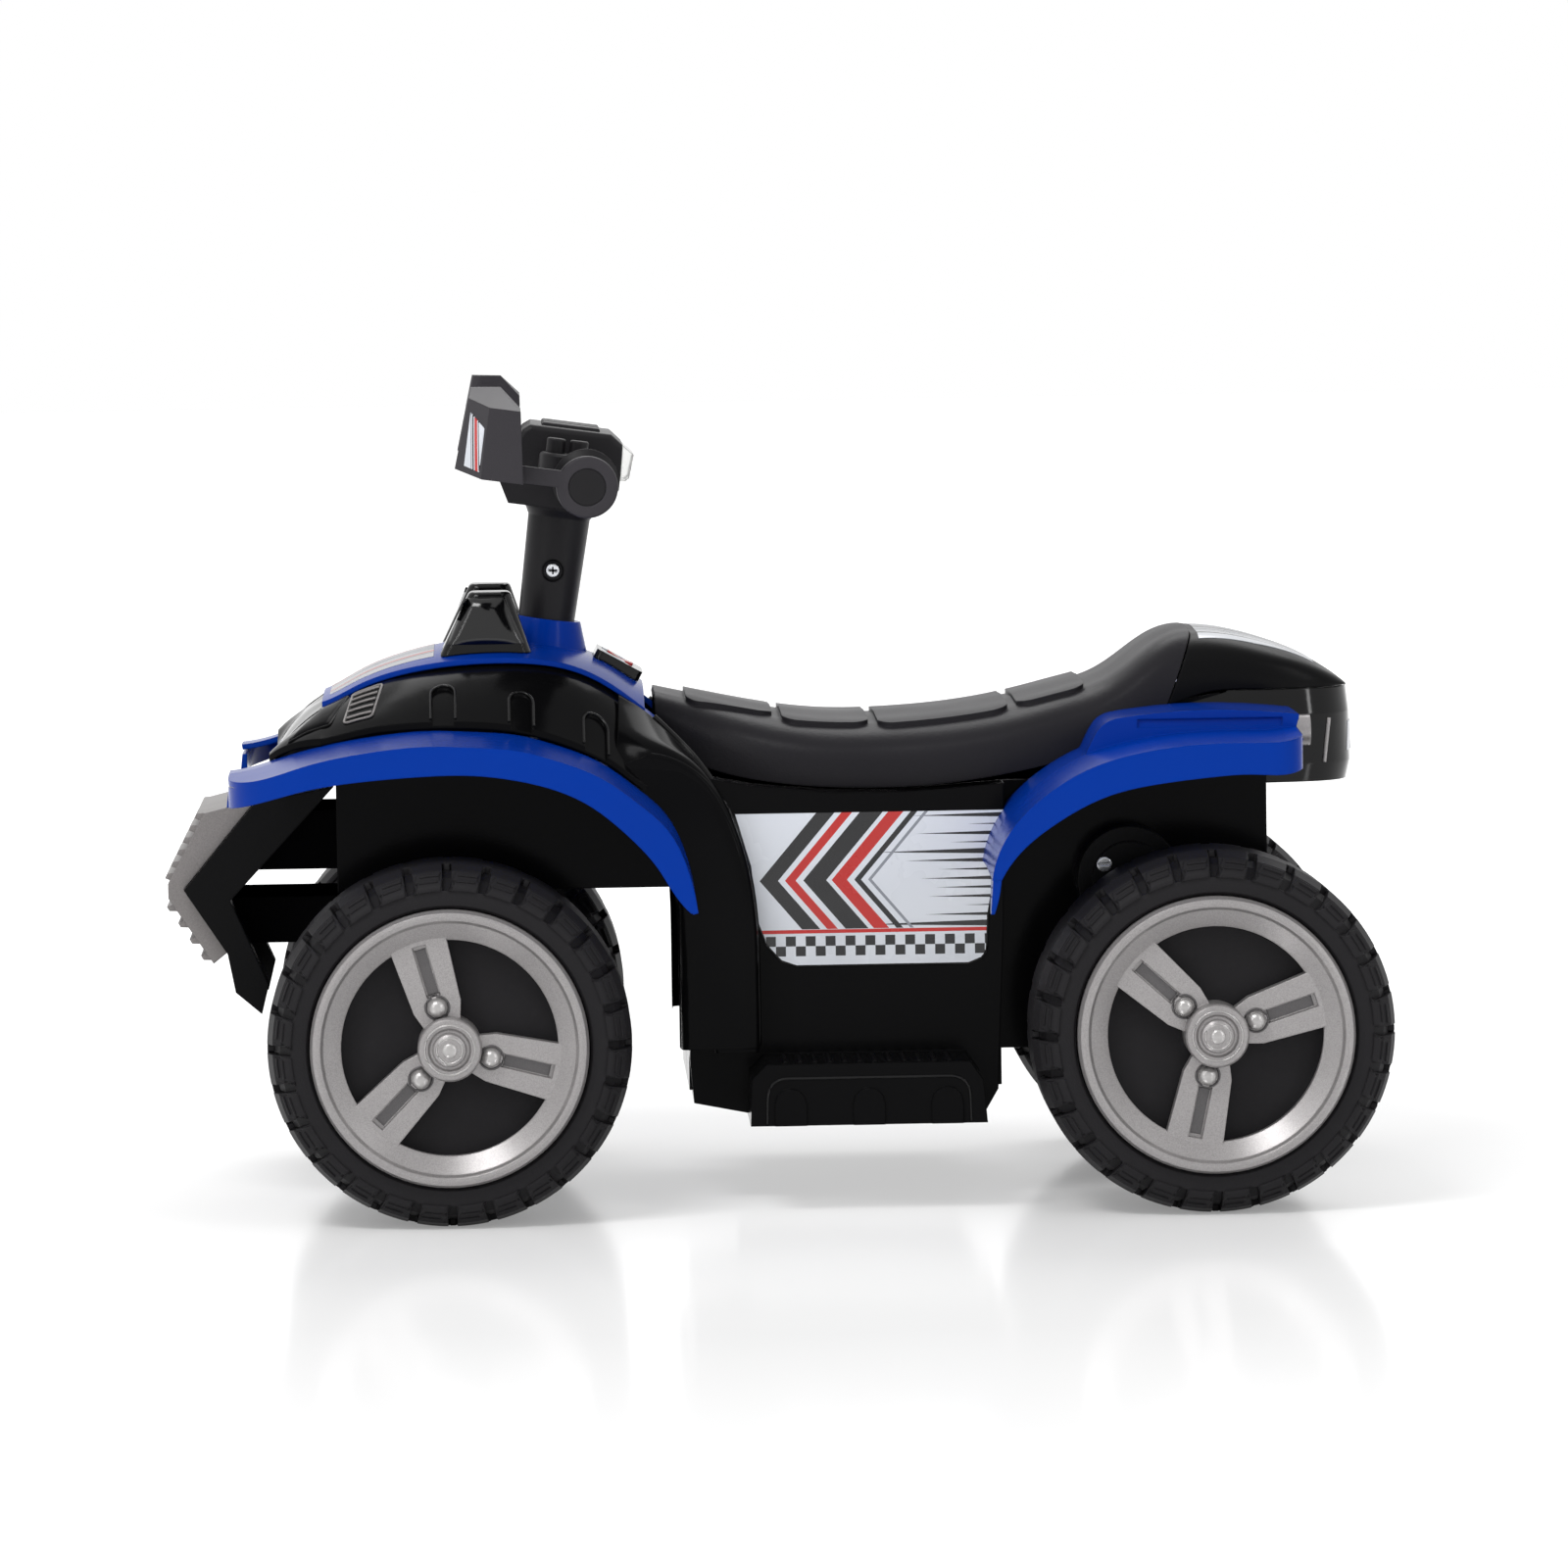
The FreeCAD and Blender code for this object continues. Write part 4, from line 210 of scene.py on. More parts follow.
@dataclass(frozen=True)
class Moulding:
    """Moulded plastic, rubber or plated metal: drifting colour, fine grain and uneven gloss."""

    name: str
    colour: Colour
    roughness: float = 0.4
    gloss_drift: float = 0.08
    colour_drift: float = 0.12
    grain: float = 900.0
    grain_depth: float = 0.00004
    metallic: float = 0.0
    shine: float = 0.5
    flake: float = 0.0
    scuff: float = 0.0
    pebble: float = 0.0
    clear: float = 0.0
    edge: float = 0.0012
    edge_samples: int = 4
    cloud_scale: float = 9.0
    flake_scale: float = 2600.0
    scuff_scale: float = 55.0
    pebble_scale: float = 420.0

    def colour_tree(self, nodes: Nodes, where: Socket, cloud: Socket) -> Socket:
        """Colour with its drift, flakes and pale scuffs.

        Args:
            nodes: the material's tree.
            where: coordinates.
            cloud: a slow pattern.

        Returns:
            The colour.
        """
        base = np.array(self.colour)
        drift = self.colour_drift
        tint = nodes.blend(cloud, tuple(base * (1 - drift)), tuple(np.minimum(1, base * (1 + drift))))
        if self.flake:
            speck = nodes.add("TexVoronoi", {"Vector": where, "Scale": self.flake_scale}).outputs["Color"]
            grey = nodes.add("RGBToBW", {"Color": speck}).outputs[0]
            dark, pale = base * (1 - 0.6 * self.flake), np.minimum(1, base * (1 + self.flake))
            specks = nodes.blend(grey, tuple(dark), tuple(pale))
            tint = nodes.blend(0.8, tint, specks)
        if self.scuff:
            inputs = {"Vector": where, "Scale": self.scuff_scale, "Detail": 8.0, "Roughness": 0.75}
            marks = nodes.add("TexNoise", inputs).outputs["Fac"]
            worn = nodes.span(marks, 0.6, 0.74, 0.0, self.scuff)
            tint = nodes.blend(worn, tint, tuple(np.minimum(1, base * 1.5 + 0.02)))
        return tint

    def material(self) -> bpy.types.Material:
        """Builds the material once and hands it out again later.

        Returns:
            The material.
        """
        known = bpy.data.materials.get(self.name)
        if known is not None:
            return known
        nodes = Nodes(self.name)
        where = nodes.add("TexCoord").outputs["Object"]
        cloud = nodes.noise(where, self.cloud_scale, 4.0)
        tint = self.colour_tree(nodes, where, cloud)
        height = nodes.noise(where, self.grain)
        if self.pebble:
            inputs = {"Vector": where, "Scale": self.pebble_scale}
            cells = nodes.add("TexVoronoi", inputs, feature="SMOOTH_F1").outputs["Distance"]
            height = nodes.sum("MULTIPLY_ADD", cells, self.pebble, height)
        rough = nodes.span(cloud, 0.3, 0.7, max(0.02, self.roughness - self.gloss_drift),
                           min(1.0, self.roughness + self.gloss_drift))
        round_edge = nodes.add("Bevel", {"Radius": self.edge}, samples=self.edge_samples).outputs[0]
        inputs = {"Height": height, "Strength": 1.0, "Distance": self.grain_depth, "Normal": round_edge}
        bump = nodes.add("Bump", inputs).outputs[0]
        return nodes.close(Base_Color=tint, Roughness=rough, Normal=bump, Metallic=self.metallic,
                           Specular_IOR_Level=self.shine, Transmission_Weight=self.clear)


WHITE_INK = linear(229, 233, 240)
BLACK_INK = linear(20, 20, 23)
RED_INK = linear(196, 34, 30)
GREY_INK = linear(140, 144, 152)
GREEN_INK = linear(42, 150, 74)


@dataclass(frozen=True)
class Print:
    """Printed film on plastic: inks drawn over the piece's own print map, under a clear gloss."""

    name: str
    ground: Colour = WHITE_INK
    roughness: float = 0.26
    metallic: float = 0.0
    ripple_scale: float = 45.0
    ripple_depth: float = 0.00006

    def shade(self, share: float) -> Colour:
        """The ground's colour, darkened to a share of itself."""
        return tuple(share * c for c in self.ground)

    def stripe(self, nodes: Nodes, value: Socket, middle: float, half: object) -> Socket:
        """Mask that is 1 where a value lies within half of the middle.

        Args:
            nodes: the material's tree.
            value: the value.
            middle: the stripe's middle.
            half: its half width, a number or a socket.

        Returns:
            The mask.
        """
        return nodes.sum("LESS_THAN", nodes.sum("ABSOLUTE", nodes.sum("SUBTRACT", value, middle)), half)

    def paint(self, nodes: Nodes, u: Socket, v: Socket) -> Socket:
        """Plain film with a faint mottle.

        Args:
            nodes: the material's tree.
            u: place along the print, 0 to 1; not used.
            v: place across the print, 0 to 1; not used.

        Returns:
            The ink's colour.
        """
        mottle = nodes.noise(nodes.add("TexCoord").outputs["Object"], 60.0, 3.0)
        return nodes.blend(mottle, self.shade(0.9), self.ground)

    def material(self) -> bpy.types.Material:
        """Builds the material once and hands it out again later.

        Returns:
            The material.
        """
        known = bpy.data.materials.get(self.name)
        if known is not None:
            return known
        nodes = Nodes(self.name)
        place = nodes.add("SeparateXYZ", {0: nodes.add("UVMap", uv_map="print").outputs[0]}).outputs
        tint = self.paint(nodes, place[0], place[1])
        where = nodes.add("TexCoord").outputs["Object"]
        ripple = nodes.noise(where, self.ripple_scale, 3.0)
        rough = nodes.span(ripple, 0.3, 0.7, self.roughness - 0.05, self.roughness + 0.06)
        inputs = {"Height": ripple, "Strength": 1.0, "Distance": self.ripple_depth}
        bump = nodes.add("Bump", inputs).outputs[0]
        return nodes.close(Base_Color=tint, Roughness=rough, Normal=bump, Metallic=self.metallic)


@dataclass(frozen=True)
class SidePrint(Print):
    """Side film: forward chevrons, streaks that grow to the rear and a chequered strip."""

    aspect: float = 1.8
    streaks: float = 17.0
    strip_top: float = 0.24
    square: float = 0.065
    chevrons: tuple[tuple[float, float, Colour], ...] = (
        (0.22, 0.06, BLACK_INK), (0.36, 0.035, RED_INK), (0.52, 0.075, BLACK_INK), (0.68, 0.05, RED_INK),
        (0.8, 0.022, BLACK_INK), (0.88, 0.012, GREY_INK))

    def paint(self, nodes: Nodes, u: Socket, v: Socket) -> Socket:
        """Chevrons where x - |v - 1/2| is near a middle, streaks where a row's fraction is under a taper.

        Args:
            nodes: the material's tree.
            u: place from front to rear.
            v: place from bottom to top.

        Returns:
            The ink's colour.
        """
        x = nodes.sum("MULTIPLY", u, self.aspect)
        tint = nodes.blend(nodes.span(v, 0.0, 1.0, 0.0, 1.0), self.shade(0.9), self.ground)
        row = nodes.sum("MULTIPLY", v, self.streaks)
        number = nodes.sum("FLOOR", row)
        length = nodes.add("TexWhiteNoise", {"W": number}, noise_dimensions="1D").outputs["Value"]
        start = nodes.sum("MULTIPLY_ADD", length, 0.7, 0.85)
        taper = nodes.sum("MULTIPLY", nodes.sum("SUBTRACT", x, start), 0.42)
        streak = self.stripe(nodes, nodes.sum("FRACT", row), 0.5, taper)
        above = nodes.sum("GREATER_THAN", v, self.strip_top)
        tint = nodes.blend(nodes.sum("MULTIPLY", streak, above), tint, BLACK_INK)
        bend = nodes.sum("MULTIPLY", nodes.sum("ABSOLUTE", nodes.sum("SUBTRACT", v, 0.56)), 0.85)
        nose = nodes.sum("SUBTRACT", x, bend)
        for middle, half, ink in self.chevrons:
            band = nodes.sum("MULTIPLY", self.stripe(nodes, nose, middle, half), above)
            tint = nodes.blend(band, tint, ink)
        cells = [nodes.sum("FLOOR", nodes.sum("DIVIDE", way, self.square)) for way in (x, v)]
        odd = nodes.sum("FLOORED_MODULO", nodes.sum("ADD", *cells), 2.0)
        strip = self.stripe(nodes, v, 2 * self.square, self.square)
        tint = nodes.blend(nodes.sum("MULTIPLY", odd, strip), tint, BLACK_INK)
        return nodes.blend(self.stripe(nodes, v, 0.225, 0.012), tint, RED_INK)


@dataclass(frozen=True)
class FoilPrint(Print):
    """Silver foil with a darker wedge and two red pin stripes."""

    def paint(self, nodes: Nodes, u: Socket, v: Socket) -> Socket:
        """Wedge where |v - 1/2| is under a share of u, stripes at fixed |v - 1/2|.

        Args:
            nodes: the material's tree.
            u: place from front to rear.
            v: place across.

        Returns:
            The ink's colour.
        """
        off = nodes.sum("ABSOLUTE", nodes.sum("SUBTRACT", v, 0.5))
        grain = nodes.add("CombineXYZ", {0: nodes.sum("MULTIPLY", v, 60.0), 1: u}).outputs[0]
        tint = nodes.blend(nodes.noise(grain, 3.0, 4.0), self.shade(0.84), self.ground)
        wedge = nodes.sum("LESS_THAN", off, nodes.sum("MULTIPLY", u, 0.17))
        tint = nodes.blend(wedge, tint, GREY_INK)
        tint = nodes.blend(self.stripe(nodes, off, 0.27, 0.022), tint, RED_INK)
        return nodes.blend(self.stripe(nodes, off, 0.335, 0.012), tint, BLACK_INK)


@dataclass(frozen=True)
class TailPrint(Print):
    """Pale bands along the tail lid, parted by thin dark lines."""

    lines: Corners = ((0.385, 0.02), (0.31, 0.008), (0.26, 0.008), (0.2, 0.012), (0.09, 0.03))

    def paint(self, nodes: Nodes, u: Socket, v: Socket) -> Socket:
        """Dark lines at fixed |v - 1/2| over a band that darkens towards the middle.

        Args:
            nodes: the material's tree.
            u: place from front to rear; not used.
            v: place across.

        Returns:
            The ink's colour.
        """
        off = nodes.sum("ABSOLUTE", nodes.sum("SUBTRACT", v, 0.5))
        tint = nodes.blend(nodes.span(off, 0.05, 0.36, 0.0, 1.0), linear(120, 123, 130), self.ground)
        for middle, half in self.lines:
            tint = nodes.blend(self.stripe(nodes, off, middle, half), tint, BLACK_INK)
        return tint


@dataclass(frozen=True)
class GuardPrint(Print):
    """White label with slanted red, black and grey bars."""

    slant: float = 0.45
    bars: tuple[tuple[float, float, Colour], ...] = (
        (0.5, 0.03, GREY_INK), (0.64, 0.05, BLACK_INK), (0.85, 0.1, RED_INK), (1.04, 0.03, BLACK_INK))

    def paint(self, nodes: Nodes, u: Socket, v: Socket) -> Socket:
        """Bars where u + slant v is near a middle.

        Args:
            nodes: the material's tree.
            u: place along.
            v: place up.

        Returns:
            The ink's colour.
        """
        lean = nodes.sum("MULTIPLY_ADD", v, self.slant, u)
        tint = nodes.blend(v, self.shade(0.9), self.ground)
        for middle, half, ink in self.bars:
            tint = nodes.blend(self.stripe(nodes, lean, middle, half), tint, ink)
        return tint


@dataclass(frozen=True)
class DashPrint(Print):
    """White label with a green dot in a dark ring."""

    def paint(self, nodes: Nodes, u: Socket, v: Socket) -> Socket:
        """Dot and ring by the distance from the label's middle.

        Args:
            nodes: the material's tree.
            u: place along.
            v: place across.

        Returns:
            The ink's colour.
        """
        spot = nodes.add("CombineXYZ", {0: u, 1: v}).outputs[0]
        away = nodes.add("VectorMath", {0: spot, 1: (0.5, 0.5, 0.0)}, operation="DISTANCE").outputs["Value"]
        tint = nodes.blend(nodes.sum("LESS_THAN", away, 0.2), self.ground, GREEN_INK)
        return nodes.blend(self.stripe(nodes, away, 0.32, 0.035), tint, BLACK_INK)


@dataclass(frozen=True)
class MeterPrint(Print):
    """Dark instrument face with two ticked dials and a green bar between them."""

    aspect: float = 3.4
    ticks: int = 16

    def paint(self, nodes: Nodes, u: Socket, v: Socket) -> Socket:
        """Rings by the distance from each dial's middle, ticks by the fraction of its angle.

        Args:
            nodes: the material's tree.
            u: place across the bike.
            v: place up.

        Returns:
            The ink's colour.
        """
        tint = nodes.blend(v, BLACK_INK, linear(44, 46, 52))
        up = nodes.sum("SUBTRACT", v, 0.5)
        for middle in (0.24, 0.76):
            along = nodes.sum("MULTIPLY", nodes.sum("SUBTRACT", u, middle), self.aspect)
            squares = [nodes.sum("MULTIPLY", way, way) for way in (along, up)]
            away = nodes.sum("SQRT", nodes.sum("ADD", *squares))
            angle = nodes.sum("ARCTAN2", up, along)
            turn = nodes.sum("FRACT", nodes.sum("MULTIPLY", angle, self.ticks / (2 * math.pi)))
            ring = self.stripe(nodes, away, 0.345, 0.04)
            ticks = nodes.sum("MULTIPLY", ring, nodes.sum("LESS_THAN", turn, 0.22))
            tint = nodes.blend(ticks, tint, WHITE_INK)
            tint = nodes.blend(self.stripe(nodes, away, 0.42, 0.022), tint, GREY_INK)
            line = self.stripe(nodes, nodes.sum("SUBTRACT", up, along), 0.0, 0.05)
            hand = nodes.sum("MULTIPLY", nodes.sum("LESS_THAN", away, 0.3), line)
            upper = nodes.sum("MULTIPLY", hand, nodes.sum("GREATER_THAN", up, 0.0))
            tint = nodes.blend(upper, tint, RED_INK)
        bar = nodes.sum("MULTIPLY", self.stripe(nodes, u, 0.5, 0.07), self.stripe(nodes, v, 0.5, 0.2))
        return nodes.blend(bar, tint, GREEN_INK)


class Finish(Enum):
    """Every finish of the bike."""

    BLUE = Moulding("royal_blue_gloss", linear(0, 53, 156), 0.2, 0.04, 0.05, 500, 0.00002, shine=0.06)
    BLACK_GLOSS = Moulding("piano_black", linear(6, 6, 7), 0.1, 0.03, 0.2, 500, 0.00001, shine=0.24)
    PIANO = Moulding("bright_piano_black", linear(6, 6, 7), 0.07, 0.02, 0.2, 500, 0.00001, shine=0.5)
    BLACK_TUB = Moulding("tub_black", linear(11, 11, 12), 0.14, 0.04, 0.2, 900, 0.00002, shine=0.04)
    BLACK_DULL = Moulding("dull_black", linear(14, 14, 15), 0.6, 0.06, 0.2, 1200, 0.00006, shine=0.0)
    BLACK_SATIN = Moulding("satin_black", linear(11, 11, 12), 0.32, 0.06, 0.15, 1400, 0.00006, shine=0.07)
    BLACK_GRAIN = Moulding("grained_black", linear(55, 53, 57), 0.44, 0.06, 0.1, 1500, 0.00008, shine=0.16)
    BLACK_SHELL = Moulding("shell_black", linear(31, 30, 32), 0.36, 0.06, 0.1, 1500, 0.00006, shine=0.14)
    SEAT = Moulding("grained_seat", linear(40, 39, 42), 0.34, 0.06, 0.12, 1200, 0.0001, shine=0.06,
                    pebble=0.5)
    TYRE = Moulding("dull_tyre", linear(33, 32, 34), 0.5, 0.08, 0.18, 800, 0.00012, shine=0.12, scuff=0.1)
    SILVER = Moulding("metal_flake_silver", linear(150, 147, 147), 0.3, 0.05, 0.05, 900, 0.00003, 0.4,
                      flake=0.34)
    GRILLE = Moulding("dull_flake_grey", linear(126, 122, 121), 0.42, 0.06, 0.08, 900, 0.00004, 0.15,
                      flake=0.3)
    # Darker copy of the rims' silver: painted shade in the spoke grooves and round the bolts' feet.
    CHANNEL = Moulding("painted_shade_flake_silver", linear(92, 90, 91), 0.36, 0.05, 0.08, 900, 0.00003, 0.3,
                       flake=0.3)
    BOLT = Moulding("bright_bolt", linear(176, 174, 173), 0.24, 0.05, 0.05, 900, 0.00002, 0.6)
    CHROME = Moulding("bright_plating", linear(206, 208, 212), 0.14, 0.05, 0.05, 700, 0.00001, 1.0)
    STEEL = Moulding("zinc_steel", linear(170, 172, 176), 0.34, 0.08, 0.1, 300, 0.00002, 1.0)
    NYLON = Moulding("natural_nylon", linear(226, 222, 208), 0.45, 0.06, 0.05, 600, 0.00003)
    GREY = Moulding("battery_grey", linear(92, 95, 100), 0.5, 0.06, 0.1, 900, 0.00005)
    RED = Moulding("signal_red", linear(196, 24, 20), 0.28, 0.05, 0.08, 600, 0.00002)
    LENS = Moulding("smoked_lens", linear(9, 9, 11), 0.08, 0.03, 0.2, 300, 0.00001, shine=0.012)
    CLEAR = Moulding("clear_window", linear(238, 238, 236), 0.07, 0.03, 0.02, 300, 0.00001, clear=0.92)
    WHITE = Moulding("white_mark", linear(224, 227, 232), 0.3, 0.05, 0.04, 600, 0.00001)
    SIDE_PRINT = SidePrint("side_film")
    FOIL_PRINT = FoilPrint("hood_foil", linear(184, 185, 189), 0.3, 0.35)
    TAIL_PRINT = TailPrint("tail_film", linear(205, 208, 214), 0.24)
    GUARD_PRINT = GuardPrint("guard_label")
    DASH_PRINT = DashPrint("dash_label")
    METER_PRINT = MeterPrint("meter_face", roughness=0.3)

    def dress(self, thing: bpy.types.Object) -> None:
        """Puts the finish on an object.

        Args:
            thing: the object, whose material slots are replaced.
        """
        thing.data.materials.clear()
        thing.data.materials.append(self.value.material())


WHEELS = tuple(f"{end}_{side}" for end in ("front", "rear") for side in ("left", "right"))
NODE_FINISH: dict[Finish, tuple[str, ...]] = {
    Finish.BLUE: ("hood_panel", "front_fender_left", "front_fender_right", "rear_fender_left",
                  "rear_fender_right"),
    Finish.BLACK_GLOSS: ("tail_panel", "lamp_pods", "dash_bezel"),
    Finish.BLACK_TUB: ("body_tub", "front_cowl"),
    Finish.BLACK_DULL: ("bumper_beams", "front_axle_beam", "knuckle_left", "knuckle_right"),
    Finish.GRILLE: ("bumper_grille",),
    Finish.BLACK_SATIN: ("front_bumper", "foot_pedal", "steering_bush", "tail_cover", "gearbox_inner_half",
                         "gearbox_outer_half"),
    Finish.BLACK_GRAIN: ("handguard_left", "handguard_right"),
    Finish.BLACK_SHELL: ("bar_lower_shell", "bar_upper_shell", "grip_left", "grip_right", "horn_button",
                         "music_button", "steering_column"),
    Finish.SEAT: ("seat",),
    Finish.TYRE: tuple(f"{wheel}_tyre" for wheel in WHEELS),
    Finish.SILVER: (*(f"{wheel}_rim" for wheel in WHEELS), *(f"{wheel}_hub_cap" for wheel in WHEELS),
                    "exhaust_tips"),
    Finish.STEEL: ("rear_axle", "steering_rod", "tie_rod", "motor", "rear_axle_nuts", "axle_nut_left",
                   "axle_nut_right"),
    Finish.CHROME: ("gearbox_screws", "column_screw"),
    Finish.RED: ("rocker_switch",),
    Finish.CLEAR: ("meter_lens",),
    Finish.NYLON: ("drive_gear", "idler_gear", "motor_pinion"),
    Finish.GREY: ("battery", "battery_strap"),
}


class Skin:
    """Outer skin of CAD nodes, read as triangles, on which thin pieces are laid."""

    def __init__(self, *names: str) -> None:
        """Collects the triangles.

        Args:
            names: the nodes that make the skin.
        """
        self.corners = np.concatenate([self.triangles(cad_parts[name].data) for name in names])

    @staticmethod
    def triangles(mesh: bpy.types.Mesh) -> Array:
        """Corner places of a mesh's triangles.

        Args:
            mesh: the mesh.

        Returns:
            An array of triangle, corner and coordinate.
        """
        mesh.calc_loop_triangles()
        places = np.empty(len(mesh.vertices) * 3)
        mesh.vertices.foreach_get("co", places)
        order = np.empty(len(mesh.loop_triangles) * 3, dtype=np.int32)
        mesh.loop_triangles.foreach_get("vertices", order)
        return places.reshape(-1, 3)[order].reshape(-1, 3, 3)

    def reach(self, axis: Axis, sign: int, spots: Array) -> Array:
        """Outermost coordinate of the skin along an axis, by the weights of each spot in each triangle.

        Args:
            axis: the direction looked along.
            sign: +1 for the highest coordinate, -1 for the lowest.
            spots: the two other coordinates, in order, in the last dimension.

        Returns:
            The coordinate at each spot; where nothing lies there, the middle value of all spots found.
        """
        across = [k for k in range(3) if k != axis.value]
        flat = self.corners[:, :, across]
        first, second, third = flat[:, 0], flat[:, 1], flat[:, 2]
        one, two = second - first, third - first
        area = one[:, 0] * two[:, 1] - one[:, 1] * two[:, 0]
        usable = np.abs(area) > 1e-13
        first, one, two, area = first[usable], one[usable], two[usable], area[usable]
        depth = sign * self.corners[usable][:, :, axis.value]
        places = spots.reshape(-1, 2)
        found = []
        for some in np.array_split(places, max(1, len(places) // 150)):
            gap = some[:, None, :] - first[None]
            right = (gap[..., 0] * two[:, 1] - gap[..., 1] * two[:, 0]) / area
            up = (one[:, 0] * gap[..., 1] - one[:, 1] * gap[..., 0]) / area
            inside = (right > -1e-4) & (up > -1e-4) & (right + up < 1.0001)
            level = depth[:, 0] + right * (depth[:, 1] - depth[:, 0]) + up * (depth[:, 2] - depth[:, 0])
            found.append(np.where(inside, level, -np.inf).max(axis=1))
        best = np.concatenate(found)
        missed = ~np.isfinite(best)
        if missed.any():
            LOG.warning("%d spots of %d lie off the skin", missed.sum(), len(best))
            best[missed] = np.median(best[~missed])
        return sign * best.reshape(spots.shape[:-1])

    def drape(self, axis: Axis, sign: int, spots: Array, *lifts: object) -> list[Array]:
        """Places on the skin over given spots, lifted off it.

        Args:
            axis: the direction looked along.
            sign: +1 for the side of the highest coordinate, -1 for the lowest.
            spots: the two other coordinates, in order, in the last dimension.
            lifts: distances outwards from the skin, a number or an array each.

        Returns:
            One array of places per lift.
        """
        level = self.reach(axis, sign, spots)
        return [np.insert(spots, axis.value, level + sign * lift, axis=-1) for lift in lifts]


